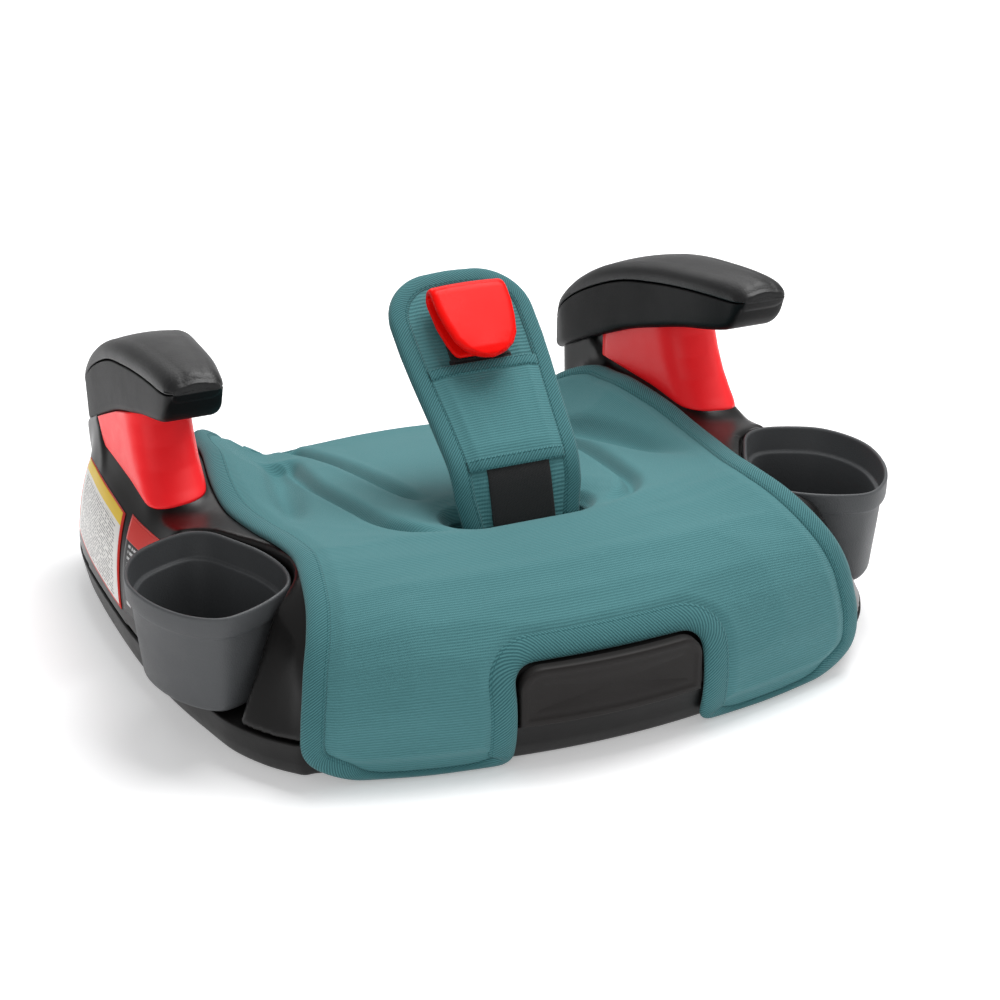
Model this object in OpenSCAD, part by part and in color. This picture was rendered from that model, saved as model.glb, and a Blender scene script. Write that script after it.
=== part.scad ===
// Backless booster seat: base tray, moulded seat shell with two armrests,
// padded cover, lap-belt strap with clip, and two lift-off cup holders.
// Frame: the front faces -Y, +Z is up, and +X is on the right seen from the front
// (the sitter's left). Parts named "right" lie at +X, parts named "left" at -X.
// The origin is at the bottom centre of the seat. Millimetres.

/* [Base] */
// height of the joint line between base tray and seat shell
parting_z = 25; // [22:0.5:28]
// wall thickness of the base tray
base_wall = 3; // [2.4:0.2:3.6]
// thickness of the base tray floor
base_floor = 3; // [2.4:0.2:4]

/* [Seat shell] */
// wall thickness of the seat shell
shell_wall = 3; // [2.4:0.2:3.4]

/* [Cushion] */
// thickness of the padded fabric cover
cover_t = 3.2; // [2.6:0.2:3.4]
// radius of the bound edge of the cover
binding_r = 2.3; // [1.8:0.1:2.4]

/* [Cup holders] */
// height of the cup holder rim above the ground
cup_rim_z = 88.8; // [84:0.2:92]
// height of the underside of the cup holder above the ground
cup_floor_z = 27.4; // [27.4:0.2:34]
// height of the rim band
cup_band = 12; // [9:0.5:15]
// how far the rim band stands out from the cup wall
cup_step = 2.6; // [1.8:0.1:3.2]
// wall thickness of a cup holder
cup_wall = 2.4; // [1.8:0.1:2.8]

/* [Armrests] */
// gap between armrest housing and its soft top
arm_gap = 0.35; // [0.2:0.05:0.6]
// thickness of the red belt guide
guide_t = 3; // [2.4:0.1:3.4]

/* [Strap] */
// lean of the strap back from vertical, in degrees, above its bend
strap_lean = 52; // [48:1:56]
// width of the webbing
web_w = 38; // [32:1:38]
// thickness of the webbing
web_t = 1.8; // [1.4:0.1:2]
// thickness of the strap pad
pad_t = 7; // [5:0.5:8]

/* [Hidden] */
// underside of the seat shell, just above the joint line
shell_z = parting_z + 0.3;

// colours shared by several nodes
FABRIC = [0.36, 0.57, 0.58];
EDGING = [0.3, 0.5, 0.51];
WEBBING = [0.03, 0.03, 0.03];
STEEL = [0.62, 0.63, 0.65];

// ---------- number helpers ----------
function clamp(value, low, high) = min(max(value, low), high);
function blend(a, b, u) = a + (b - a) * u;
function smooth(value) = let (u = clamp(value, 0, 1)) u * u * (3 - 2 * u);
function unit(v) = v / max(norm(v), 1e-6);
function flat(lists) = [for (list = lists) each list];
function rev(list) = [for (i = [len(list) - 1:-1:0]) list[i]];
function column(table, c) = [for (line = table) line[c]];
function mirror_x(points) =
    [for (p = points) [for (k = [0:len(p) - 1]) k == 0 ? -p[k] : p[k]]];
// curve that leaves a for b, pulled towards mid
function bezier(a, mid, b, u) = (1 - u) * (1 - u) * a + 2 * u * (1 - u) * mid + u * u * b;
// smooth curve through p1 and p2
function curve4(p0, p1, p2, p3, u) =
    0.5 * ((2 * p1) + (p2 - p0) * u + (2 * p0 - 5 * p1 + 4 * p2 - p3) * u * u
    + (3 * p1 - p0 - 3 * p2 + p3) * u * u * u);
// smooth value of a table at a fractional row number
function row(table, pos) = let (last = len(table) - 1, k = clamp(floor(pos), 0, last - 1))
    curve4(table[max(k - 1, 0)], table[k], table[k + 1], table[min(k + 2, last)], pos - k);
// the same, with straight lines between rows
function straight_row(table, pos) = let (k = clamp(floor(pos), 0, len(table) - 2))
    blend(table[k], table[k + 1], pos - k);
// fractional row number at which column c of a table reaches a value
function locate(table, c, value) = let (keys = column(table, c),
    k = [for (i = [0:len(keys) - 2]) if ((value - keys[i]) * (value - keys[i + 1]) <= 0) i][0])
    k + (value - keys[k]) / (keys[k + 1] - keys[k]);
// smooth closed ring through the points, with the given steps between each pair
function ring(points, steps) = let (n = len(points))
    [for (i = [0:n - 1], k = [0:steps - 1])
        curve4(points[(i + n - 1) % n], points[i], points[(i + 1) % n],
            points[(i + 2) % n], k / steps)];
// moves a closed counter-clockwise ring inward
function inset(points, depth) = let (n = len(points)) [for (i = [0:n - 1])
    let (along = unit(points[(i + 1) % n] - points[(i + n - 1) % n]))
        points[i] + [-along[1], along[0]] * depth];
// rounded corner at b between a and c, four points
function soft_corner(a, b, c, radius) =
    let (start = b + unit(a - b) * radius, end = b + unit(c - b) * radius)
    [for (u = [0, 0.33, 0.67, 1]) bezier(start, b, end, u)];
// grid moved along its normals
function push(grid, depth) = let (rows = len(grid), cols = len(grid[0]))
    [for (i = [0:rows - 1]) [for (j = [0:cols - 1])
        let (down = grid[min(i + 1, rows - 1)][j] - grid[max(i - 1, 0)][j],
             over = grid[i][min(j + 1, cols - 1)] - grid[i][max(j - 1, 0)])
        grid[i][j] + unit(cross(down, over)) * depth]];
// same grid flattened to height z
function floor_grid(grid, z) = [for (line = grid) [for (p = line) [p[0], p[1], z]]];

// ---------- solid helpers ----------
// closed solid through a list of rings with equal point counts, each end
// closed by a fan around its mean point
module loft(rings) {
    n = len(rings[0]);
    m = len(rings);
    centres = [for (end = [rings[0], rings[m - 1]]) [for (p = end) 1] * end / n];
    sides = [for (i = [0:m - 2], j = [0:n - 1])
        let (k = (j + 1) % n, a = i * n + j, b = i * n + k, c = b + n, d = a + n)
        each [[a, b, c], [a, c, d]]];
    caps = [for (j = [0:n - 1]) let (k = (j + 1) % n)
        each [[m * n, k, j], [m * n + 1, (m - 1) * n + j, (m - 1) * n + k]]];
    polyhedron(concat(flat(rings), centres), [for (face = concat(sides, caps)) rev(face)]);
}

// closed solid between two grids of equal size
module sheet(top, bottom) {
    rows = len(top);
    cols = len(top[0]);
    n = rows * cols;
    up = [for (i = [0:rows - 2], j = [0:cols - 2]) let (p = i * cols + j)
        each [[p, p + 1, p + cols + 1], [p, p + cols + 1, p + cols]]];
    down = [for (face = up) [face[2] + n, face[1] + n, face[0] + n]];
    edge = concat([for (j = [0:cols - 1]) j],
        [for (i = [1:rows - 1]) i * cols + cols - 1],
        [for (j = [cols - 2:-1:0]) (rows - 1) * cols + j],
        [for (i = [rows - 2:-1:1]) i * cols]);
    rim = [for (k = [0:len(edge) - 1]) let (a = edge[k], b = edge[(k + 1) % len(edge)])
        each [[b, a, a + n], [b, a + n, b + n]]];
    polyhedron(concat(flat(top), flat(bottom)), concat(up, down, rim));
}

// eight-sided tube along a path of points
module tube(path, radius, closed) {
    n = 8;
    m = len(path);
    rings = [for (i = [0:m - 1])
        let (next = path[closed ? (i + 1) % m : min(i + 1, m - 1)],
             previous = path[closed ? (i + m - 1) % m : max(i - 1, 0)],
             along = unit(next - previous),
             a = unit(cross(along, abs(along[1]) > 0.9 ? [1, 0, 0] : [0, 1, 0])),
             b = cross(along, a))
        [for (k = [0:n - 1]) path[i] + radius * (cos(360 * k / n) * a + sin(360 * k / n) * b)]];
    if (closed) {
        faces = [for (i = [0:m - 1], k = [0:n - 1])
            let (i2 = (i + 1) % m, k2 = (k + 1) % n,
                 a = i * n + k, b = i * n + k2, c = i2 * n + k2, d = i2 * n + k)
            each [[a, c, b], [a, d, c]]];
        polyhedron(flat(rings), faces);
    } else loft(rings);
}

module both() {
    children();
    mirror([1, 0, 0]) children();
}

// children at each x, y point on both halves of the seat
module at_each(points, z = 0)
    both() for (p = points) translate([p[0], p[1], z]) children();

// profile in Y and Z pulled along X from x0 to x1
module across(x0, x1)
    translate([x0, 0, 0]) rotate([90, 0, 90]) linear_extrude(x1 - x0) children();

// ---------- cover surface ----------
// columns that COVER and SHELL share
CENTRE_Y = 0;
CENTRE_Z = 1;
SIDE_Y = 2;
SIDE_X = 3;
SIDE_Z = 4;

// rows from the rear edge to the front hem: centre y, centre z, side y, side x, side z
COVER = [
    [178, 38, 166, 98, 48], [176.5, 44.5, 158.5, 112, 64], [166, 49, 144, 126, 80],
    [145, 54, 125, 135, 89], [118, 60.5, 106, 138, 91.5], [85, 68, 85, 140, 94],
    [50, 75, 50, 146, 92], [18, 81, 18, 148, 90], [-18, 87, -18, 145, 93],
    [-48, 91.5, -48, 141, 97], [-76, 94.8, -76, 140, 100], [-104, 95.8, -101, 144, 98],
    [-130, 93, -123, 149, 91.5], [-152, 85, -139, 155, 81], [-169, 72, -147.5, 160, 68],
    [-180, 56, -152, 163, 53], [-185, 39, -154.5, 165.2, 37], [-184.5, 20, -154, 164.3, 19],
    [-179, 2.8, -157, 152, 4.5]];
HEM = len(COVER) - 1;

// flat seat in the middle, changing to the side height near the edge
function bucket(side) = smooth((side - 0.62) / 0.38);
// point of a table row; side runs from -1 at the left edge to 1 at the right
function seat_point(line, side) = let (a = abs(side))
    [line[SIDE_X] * side, blend(line[CENTRE_Y], line[SIDE_Y], a * a),
     blend(line[CENTRE_Z], line[SIDE_Z], bucket(a))];
function cover_point(pos, side) = seat_point(row(COVER, pos), side);
// cover point moved out along the normal, or in where out is negative
function cover_shift(pos, side, out) = let (e = 0.03,
    down = cover_point(pos + e, side) - cover_point(pos - e, side),
    over = cover_point(pos, side + e) - cover_point(pos, side - e))
    cover_point(pos, side) + unit(cross(down, over)) * out;

// ---------- shell surface ----------
SHELL_EDGE_Z = 25.3;
// rows from rear to front: centre y, centre z, side y, side x, side z,
// then x, y, z of the shoulder, the flank and the joint line
SHELL = [
    [184, 25.3, 181.5, 100, 25.3,  150, 177.5, 25.3,  180, 168, 25.3,  196, 155, 25.3],
    [182.8, 28, 175, 104, 33,  152, 173.5, 62,  186, 162, 50,  202, 148, 25.3],
    [175, 30, 155, 112, 49,  165, 163.5, 82,  192, 154, 58,  205, 141, 25.3],
    [163, 34.5, 143, 126, 75,  184, 150, 87,  200, 142, 60,  208.5, 130, 25.3],
    [143, 40, 124, 135, 84.2,  187, 127, 87,  203, 121, 60,  211.5, 111, 25.3],
    [117, 46, 105, 138, 86.7,  187.5, 107, 86,  205, 101, 60,  212.8, 92, 25.3],
    [85, 53, 85, 140, 89.2,  188, 85, 85,  206, 80, 60,  213.3, 72, 25.3],
    [50, 60, 50, 146, 87.2,  188, 50, 83,  206, 46, 59,  213.3, 40, 25.3],
    [18, 66, 18, 148, 85.2,  186, 20, 84,  204, 17, 59,  212.5, 10, 25.3],
    [-18, 71.5, -18, 145, 88.2,  184, -14, 90.5,  201, -16, 58,  210, -21, 25.3],
    [-48, 76, -48, 141, 92.2,  180, -46, 90,  197, -47, 58,  206, -50, 25.3],
    [-75, 79, -75, 140, 95,  174, -73, 89,  191, -76, 57,  200, -80, 25.3],
    [-102, 80.5, -99, 144, 93,  165, -99, 86,  182, -103, 55,  193.5, -107.5, 25.3],
    [-126, 79.5, -120, 149, 86.5,  160, -119, 79,  173, -123, 52,  183.5, -128, 25.3],
    [-145.5, 75, -134.5, 154.5, 76,  161.5, -132.5, 69,  169.5, -134, 47,  175.5, -139, 25.3],
    [-161, 65, -142, 158.5, 64,  163, -140, 57,  167, -141, 40,  170.5, -144.5, 25.3],
    [-172.5, 52, -145.6, 160.6, 50.5,  163.6, -144.2, 45,  166, -145.4, 34,  168, -147.4, 25.3],
    [-178.6, 38, -147, 161.6, 36,  163.6, -146.6, 33.5,  165.3, -147.6, 29.2,  166.8, -149, 25.3],
    [-179.6, 25.3, -147.6, 162, 25.3,  163.4, -148.3, 25.3,  165, -149, 25.3,  166.4, -149.6, 25.3]];
// fractional row numbers of SHELL at which the shell is built
SHELL_POS = [0, 1, 2, 2.5, 3, 4, 5, 6, 7, 8, 8.5, 9, 10, 11, 12, 12.5, 13, 13.5, 14,
    15, 16, 17, 18];
// places beyond the cover edge: 0 at the edge, 1 at the shoulder, 2 at the joint line
FLANK_POS = [0.5, 1, 1.12, 1.3, 1.5, 1.7, 1.9, 2];

// outside of the shell beyond the cover edge; the curve passes the flank point at 1.5
function flank_point(line, pos) =
    let (edge = [line[SIDE_X], line[SIDE_Y], line[SIDE_Z]],
         shoulder = [line[5], line[6], line[7]],
         flank = [line[8], line[9], line[10]],
         joint = [line[11], line[12], line[13]])
    pos <= 1 ? blend(edge, shoulder, pos)
    : bezier(shoulder, 2 * flank - (shoulder + joint) / 2, joint, pos - 1);
function shell_row(pos) = let (line = row(SHELL, pos),
    right = [for (u = FLANK_POS) let (p = flank_point(line, u))
        [p[0], p[1], max(p[2], SHELL_EDGE_Z)]])
    concat(rev(mirror_x(right)), [for (j = [-10:10]) seat_point(line, j / 10)], right);
SHELL_GRID = [for (pos = SHELL_POS) shell_row(pos)];

// y of the middle towards which the tray and the cavity are drawn in
MID_Y = 10;
function draw_in(p, kx, ky, z) = [p[0] * (1 - kx), MID_Y + (p[1] - MID_Y) * (1 - ky), z];
// inside face of the shell
CAVITY = [for (line = SHELL_GRID) [for (p = line)
    draw_in(p, shell_wall / 205, shell_wall / 180, p[2] - shell_wall)]];

// joint line outline, counter-clockwise from the front left
function outline() = let (rear = 0, front = len(SHELL_GRID) - 1,
    left = 0, right = len(SHELL_GRID[0]) - 1)
    [for (p = concat(
        [for (j = [left + 1:2:right - 1]) SHELL_GRID[front][j]],
        [for (i = [front:-1:rear]) SHELL_GRID[i][right]],
        [for (j = [right - 1:-2:left + 1]) SHELL_GRID[rear][j]],
        [for (i = [rear:front]) SHELL_GRID[i][left]])) [p[0], p[1]]];
OUTLINE = outline();

// ---------- cup outline ----------
// x, y of the right cup holder, counter-clockwise
CUP = [[228.5, -58], [225.3, -38], [214.5, -20], [198, -10], [181, -5.5], [168, -11],
    [158, -27], [148.5, -47], [144, -70], [148, -88], [161, -101], [180, -111],
    [196, -113], [211.5, -102], [223.2, -82]];
CUP_RING = ring(CUP, 3);
// locating peg in the niche floor
PEG = [180, -60];

// solid through levels of [inset, z] of the cup outline
module cup_loft(levels) loft([for (level = levels)
    [for (p = inset(CUP_RING, level[0])) [p[0], p[1], level[1]]]]);

// ---------- armrest profile ----------
// rows from rear to tip: top y, z, joint y, z, bottom y, z, inner x, outer x
ARM = [
    [175, 110, 176, 104, 176.3, 82, 129, 185.5], [169.5, 121.5, 165.5, 116, 161, 90, 126.5, 189],
    [157, 136, 150.5, 128.5, 143, 100, 128.5, 190.2], [133, 151.5, 128, 141.5, 121, 110.5, 133, 190.5],
    [105, 163, 101.5, 153, 96, 122, 138.5, 190.5], [75, 171.5, 72.5, 160.5, 68, 132, 144, 190.5],
    [45, 177.5, 44, 166.5, 43, 140.5, 148, 190.5], [18, 182, 17.5, 170.8, 18, 147.5, 151.5, 190.5],
    [-1, 183.5, -3, 173.2, 1, 153, 155, 189.5], [-11.5, 182, -12.5, 174.6, -7, 159.5, 158, 187],
    [-16.5, 178.2, -17, 175.6, -12.5, 168.5, 162.5, 182.5]];
ARM_BOTTOM_Y = 4;
ARM_BOTTOM_Z = 5;
// armrest screws: x, y, z of the head, height of the hole top above ARM_HOLE_Z
ARM_SCREWS = [[170, 92, 113, 58], [164, 134, 93, 40]];
ARM_HOLE_Z = 80;

// y and z at a level: 0 bottom, 1 joint line, 2 top
function arm_point(line, level) =
    let (bottom = [line[4], line[5]], joint = [line[2], line[3]], top = [line[0], line[1]])
    level <= 1 ? blend(bottom, joint, level) : blend(joint, top, level - 1);
// section of the armrest between two levels, its edges rounded by r0 below and r1 above
function arm_ring(pos, level0, level1, r0, r1) =
    let (line = row(ARM, pos), inner = line[6], outer = line[7],
         low = min(r0, (outer - inner) / 2 * 0.8), high = min(r1, (outer - inner) / 2 * 0.8),
         // distance in from the side, share of the height
         side = [[low, 0], [low * 0.35, 0.06], [0, 0.24], [0, 0.62], [high * 0.3, 0.9], [high, 1]])
    concat(
        [for (k = side) let (p = arm_point(line, blend(level0, level1, k[1])))
            [inner + k[0], p[0], p[1]]],
        [for (u = [0.33, 0.67]) let (p = arm_point(line, level1))
            [blend(inner + high, outer - high, u), p[0], p[1]]],
        [for (k = rev(side)) let (p = arm_point(line, blend(level0, level1, k[1])))
            [outer - k[0], p[0], p[1]]]);
module arm_part(level0, level1, r0, r1)
    loft([for (i = [0:20]) rev(arm_ring(i / 2, level0, level1, r0, r1))]);
// height of the armrest underside at y
function arm_under(y) = straight_row(ARM, locate(ARM, ARM_BOTTOM_Y, y))[ARM_BOTTOM_Z];

// ---------- armrest post ----------
// height, front y, rear y, inner front x, inner x at the bend, outer x
POST = [
    [62, 6, 171, 153, 140.5, 188], [74, 16, 172, 153, 140.5, 189],
    [84, 27, 172.5, 153, 140.5, 189.5], [92, 37, 173, 153, 140.5, 189.6],
    [102, 47, 173.3, 153, 140.5, 189.6], [114, 55, 173.5, 153, 140.5, 189.6],
    [126, 60.5, 173.5, 153, 140.5, 189.6], [140, 64, 173.5, 153, 140.5, 189.6],
    [158, 65, 173.5, 153, 140.5, 189.6]];
POST_BEND_Y = 134.5;
POST_REAR_X = 128.5;
POST_FRONT_R = 17;
// y, z of the region that keeps the full post section, behind the belt guide
POST_REAR = [[100, 50], [107, 78], [108.5, 83], [150.5, 118], [178, 141], [240, 141], [240, 50]];

// inner front, outer front, outer rear, inner rear and bend, drawn in by depth
function post_corners(line, depth) =
    let (front = line[1] + depth, rear = line[2] - depth, outer = line[5] - depth)
    [[line[3] + depth, front], [outer, front], [outer, rear],
     [POST_REAR_X + depth, rear], [line[4] + depth, POST_BEND_Y]];
function post_ring(line, depth) = let (c = post_corners(line, depth),
    radii = [POST_FRONT_R - depth, POST_FRONT_R - depth, 9, 9, 4])
    [for (i = [0:4]) each
        [for (p = soft_corner(c[(i + 4) % 5], c[i], c[(i + 1) % 5], radii[i]))
            [p[0], p[1], line[0]]]];
// post drawn in by depth and lengthened by grow at both ends
module post(depth, grow = 0) {
    last = len(POST) - 1;
    loft([for (i = [0:last])
        let (dz = i == 0 ? -grow : i == last ? grow : 0)
        post_ring(POST[i] + [dz, 0, 0, 0, 0, 0], depth)]);
}

// ---------- belt guide surface ----------
// rear edge of the belt guide at height z
function guide_rear(z) = 108 + (z - 83) * 1.2;
// height of its lower edge
function guide_low(x, y) = 88.2 + 2.3 * smooth((y - 40) / 40) - 2.6 * (x - 152) / 37;
// height at a share of the way from the lower edge to the armrest
function guide_height(p, share) =
    blend(guide_low(p[0], p[1]), arm_under(p[1]) - 0.6, share);
// plan line at height z, drawn in by depth: inner side, round the front, outer side
function guide_line(z, depth) =
    let (c = post_corners(straight_row(POST, locate(POST, 0, z)), depth),
         radius = POST_FRONT_R - depth,
         inner_turn = soft_corner(c[4], c[0], c[1], radius),
         outer_turn = soft_corner(c[0], c[1], c[2], radius),
         rear = guide_rear(z))
    concat(
        [for (u = [0, 0.25, 0.5, 0.75]) let (y = blend(rear, inner_turn[0][1], u))
            [blend(c[0][0], c[4][0], (y - c[0][1]) / (c[4][1] - c[0][1])), y]],
        inner_turn, outer_turn,
        [for (u = [0.25, 0.5, 0.75, 1]) [c[1][0], blend(outer_turn[3][1], rear, u)]]);
// height and plan depend on each other, so each point is refined twice
function guide_grid(depth) = let (start = guide_line(105, depth))
    [for (i = [6:-1:0]) [for (j = [0:len(start) - 1])
        let (z1 = guide_height(start[j], i / 6),
             z2 = guide_height(guide_line(z1, depth)[j], i / 6),
             p = guide_line(z2, depth)[j])
        [p[0], p[1], z2]]];

// ---------- base tray ----------
// tray levels from the ground up: share drawn in across x, across y, z
TRAY = [[0.034, 0.056, 0], [0.024, 0.044, 2.5], [0.012, 0.022, 11], [0, 0, parting_z]];
TRAY_INSIDE = [[TRAY[1][0], TRAY[1][1], base_floor], TRAY[2], TRAY[3], TRAY[3] + [0, 0, 2]];
// x, y of the screw bosses on the right half
BOSSES = [[150, 135], [180, 20], [128, -60], [110, -120], [60, 150], [45, -20]];
RIB_T = 2;
RIB_H = 14;

function tray_ring(level) = [for (p = OUTLINE) draw_in(p, level[0], level[1], level[2])];

module tray_ribs() {
    z = base_floor - 0.5;
    for (y = [-90, -30, 55, 115])
        translate([-150, y - RIB_T / 2, z]) cube([300, RIB_T, RIB_H]);
    for (x = [-90, -10, 80])
        translate([x, -135, z]) cube([RIB_T, 290, RIB_H]);
}

module base_pan() color([0.06, 0.06, 0.065]) difference() {
    union() {
        difference() {
            loft([for (level = TRAY) tray_ring(level)]);
            loft([for (level = TRAY_INSIDE)
                tray_ring(level + [base_wall / 210, base_wall / 180, 0])]);
        }
        tray_ribs();
        at_each(BOSSES) cylinder(h = parting_z, r = 7.5, $fn = 48);
    }
    at_each(BOSSES, -1) {
        cylinder(h = 12, r = 5.2, $fn = 48);
        cylinder(h = 60, r = 2.3, $fn = 32);
    }
}

module base_screws() color(STEEL) at_each(BOSSES) {
    // head with a cross recess in its underside
    translate([0, 0, 7.6]) difference() {
        cylinder(h = 3.3, r = 4.6, $fn = 48);
        translate([-3.2, -0.5, -1]) cube([6.4, 1, 2.2]);
        translate([-0.5, -3.2, -1]) cube([1, 6.4, 2.2]);
    }
    translate([0, 0, 10.8]) cylinder(h = 25, r = 1.9, $fn = 32);
}

// ---------- strap anchor ----------
BAR_Y = -61.5;
BAR_Z = 58;
BAR_LENGTH = 65;
BAR_R = 3;
// radius of the space around the bar
BAR_HOLE_R = BAR_R + 0.2;

// ---------- seat shell ----------
// gap between a cup holder and its niche
NICHE_GAP = 1.3;
// centre of the curved front face
FRONT_CURVE_Y = 119.5;

// cup outline grown by gap, from z0 to z1
module niche(gap, z0, z1)
    translate([0, 0, z0]) linear_extrude(z1 - z0) polygon(inset(CUP_RING, -gap));

// hollow of the shell, less the solid parts left standing in it
module shell_cavity() difference() {
    sheet(CAVITY, floor_grid(CAVITY, 12));
    both() niche(NICHE_GAP + 3, 0, 120);
    at_each(BOSSES) cylinder(h = 120, r = 6, $fn = 48);
    translate([-36, -76, 0]) cube([72, 30, 120]);
    translate([-60, -190, 0]) cube([120, 26, 120]);
}

// full section at the back, slimmer core where the belt guide wraps
module armrest_post() difference() {
    union() {
        post(guide_t + 0.4, 3);
        intersection() {
            post(0);
            across(110, 215) polygon(POST_REAR);
        }
    }
    across(110, 215) polygon(concat(
        [for (line = ARM) [line[ARM_BOTTOM_Y], line[ARM_BOTTOM_Z] - 0.4]],
        [[-60, 170], [-60, 230], [230, 230], [230, 80]]));
}

module post_hollow() across(157, 181) polygon(concat(
    [[82, 50]],
    [for (y = [82, 96, 121, 142]) [y, arm_under(y) - 5.5]],
    [[146, arm_under(146) - 6], [146, 50]]));

// strap slot and the pocket for its anchor bar
module strap_pocket() {
    translate([-21.5, -67, 40]) cube([43, 10.5, 60]);
    translate([-30, -72, 20]) cube([60, 20.5, 44]);
    translate([-33, BAR_Y - BAR_HOLE_R, 20])
        cube([66, 2 * BAR_HOLE_R, BAR_Z + BAR_HOLE_R - 20]);
}

module front_panel_seat() intersection() {
    translate([-54.4, -190, 20]) cube([108.8, 40, 43.4]);
    translate([0, FRONT_CURVE_Y, 0]) difference() {
        cylinder(h = 90, r = 400, $fn = 160);
        cylinder(h = 200, r = 296, $fn = 160, center = true);
    }
}

module seat_shell() color([0.07, 0.07, 0.075]) difference() {
    union() {
        difference() {
            sheet(SHELL_GRID, floor_grid(SHELL_GRID, 20));
            shell_cavity();
        }
        both() armrest_post();
    }
    // everything below the joint
    translate([-300, -300, -1]) cube([600, 600, shell_z + 1]);
    both() difference() {
        niche(NICHE_GAP, shell_z + 1.6, 200);
        translate([PEG[0], PEG[1], 20]) cylinder(h = 11, r = 6, $fn = 48);
    }
    at_each(BOSSES) cylinder(h = 38, r = 2.2, $fn = 32);
    both() post_hollow();
    at_each(ARM_SCREWS, ARM_HOLE_Z) cylinder(h = 90, r = 2.4, $fn = 32);
    strap_pocket();
    front_panel_seat();
}

// blank name-plate panel in the front opening, with a shallow recess in its face
module front_panel() color([0.08, 0.08, 0.085]) intersection() {
    translate([0, FRONT_CURVE_Y, 0]) difference() {
        cylinder(h = 90, r = 303.5, $fn = 160);
        translate([0, 0, -1]) cylinder(h = 200, r = 296.5, $fn = 160);
        intersection() {
            translate([-50, -400, 28.5]) cube([100, 400, 28]);
            translate([0, 0, -1]) cylinder(h = 200, r = 300.5, $fn = 160);
        }
    }
    translate([0, -150, 0]) rotate([90, 0, 0]) linear_extrude(50) union() {
        translate([-53.5, parting_z + 0.8]) square([107, 20.8]);
        translate([-43.5, parting_z + 0.8]) square([87, 33.8]);
        for (x = [-40.5, 40.5]) translate([x, parting_z + 21.6]) circle(r = 13, $fn = 64);
    }
}

// blank label on the left flank (-X)
module side_label() color([0.93, 0.93, 0.92]) {
    grid = [for (i = [5:9]) [for (j = [1:5]) SHELL_GRID[i][j]]];
    sheet(push(grid, 0.7), push(grid, 0.28));
}

// ---------- cushion ----------
// front opening of the cover: half width, top height, corner radius
CUT_X = 58;
CUT_Z = 64;
CUT_R = 14;
// row n of SHELL lies under row n - 1 of COVER
COVER_POS = concat([0.53], [for (pos = SHELL_POS) if (pos >= 2) pos - 1], [17.7]);
FOAM_POS = [for (pos = SHELL_POS) if (pos >= 2.5 && pos <= 13.5) pos];
FOAM_SIDES = [for (j = [-9:9]) j / 10];

// side positions of a cover row; the edge stands back further at the rear and front
function cover_sides(pos) =
    let (setback = 4.5 + 4 * max(0, 1 - pos) + 3 * max(0, pos - 17),
         edge = 1 - setback / row(COVER, pos)[SIDE_X])
    concat([-edge], FOAM_SIDES, [edge]);

// opening for the strap, grown by gap
module strap_hole(gap) translate([0, -52, 40]) linear_extrude(80) union() {
    translate([-25, -16 - gap]) square([50, 32 + 2 * gap]);
    for (x = [-25, 25]) translate([x, 0]) circle(r = 16 + gap, $fn = 64);
}

// front opening with rounded upper corners, grown by gap
module front_cut(gap) {
    below = 10;
    corner_x = CUT_X - CUT_R;
    corner_z = CUT_Z - CUT_R + below;
    translate([0, -140, -below]) rotate([90, 0, 0]) linear_extrude(80) union() {
        translate([-CUT_X - gap, 0]) square([2 * (CUT_X + gap), corner_z]);
        translate([-corner_x, 0]) square([2 * corner_x, CUT_Z + below + gap]);
        for (x = [-1, 1])
            translate([x * corner_x, corner_z]) circle(r = CUT_R + gap, $fn = 64);
    }
}

module foam_pad() color([0.86, 0.83, 0.74]) difference() {
    sheet([for (pos = FOAM_POS) [for (s = FOAM_SIDES) cover_shift(pos - 1, s, -cover_t - 0.5)]],
          push([for (pos = FOAM_POS) [for (s = FOAM_SIDES) seat_point(row(SHELL, pos), s)]], 0.6));
    strap_hole(3);
}

module seat_cover() color(FABRIC) difference() {
    sheet([for (pos = COVER_POS) [for (s = cover_sides(pos)) cover_point(pos, s)]],
          [for (pos = COVER_POS) [for (s = cover_sides(pos)) cover_shift(pos, s, -cover_t)]]);
    strap_hole(0);
    front_cut(binding_r + 1);
}

// row of the cover that has height z at x, found by halving
function find_pos(x, z, low, high, steps) = let (mid = (low + high) / 2)
    steps == 0 ? mid
    : cover_point(mid, x / row(COVER, mid)[SIDE_X])[2] > z
        ? find_pos(x, z, mid, high, steps - 1)
        : find_pos(x, z, low, mid, steps - 1);
// the bound edge runs in the middle of the cover thickness
function edge_point(pos, side) = cover_shift(pos, side, -cover_t / 2);
function on_front(x, z) = let (pos = find_pos(x, z, 13, 18.2, 14))
    edge_point(pos, x / row(COVER, pos)[SIDE_X]);

// x, z along the right half of the front opening, from the hem up
CUT_EDGE = concat(
    [for (z = [2.8, 12, 24, 36, 46]) [CUT_X, z]],
    [for (a = [0:18:90]) [CUT_X - CUT_R + CUT_R * cos(a), CUT_Z - CUT_R + CUT_R * sin(a)]],
    [for (x = [32, 16]) [x, CUT_Z]]);
// right half of the bound edge: side, hem, front opening
RIGHT_EDGE = concat(
    [for (pos = concat([0.02, 0.25, 0.6], [for (k = [1:0.5:17.5]) k])) edge_point(pos, 1)],
    [for (s = [1, 0.94, 0.86, 0.78, 0.7, 0.62, 0.54, 0.46, 0.41]) edge_point(HEM, s)],
    [for (p = CUT_EDGE) on_front(p[0], p[1])]);

module cover_binding() color(EDGING) tube(concat(
    [for (s = [-0.99:0.11:0.99]) edge_point(0, s)],
    RIGHT_EDGE, [on_front(0, CUT_Z)], rev(mirror_x(RIGHT_EDGE))), binding_r, true);

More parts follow.
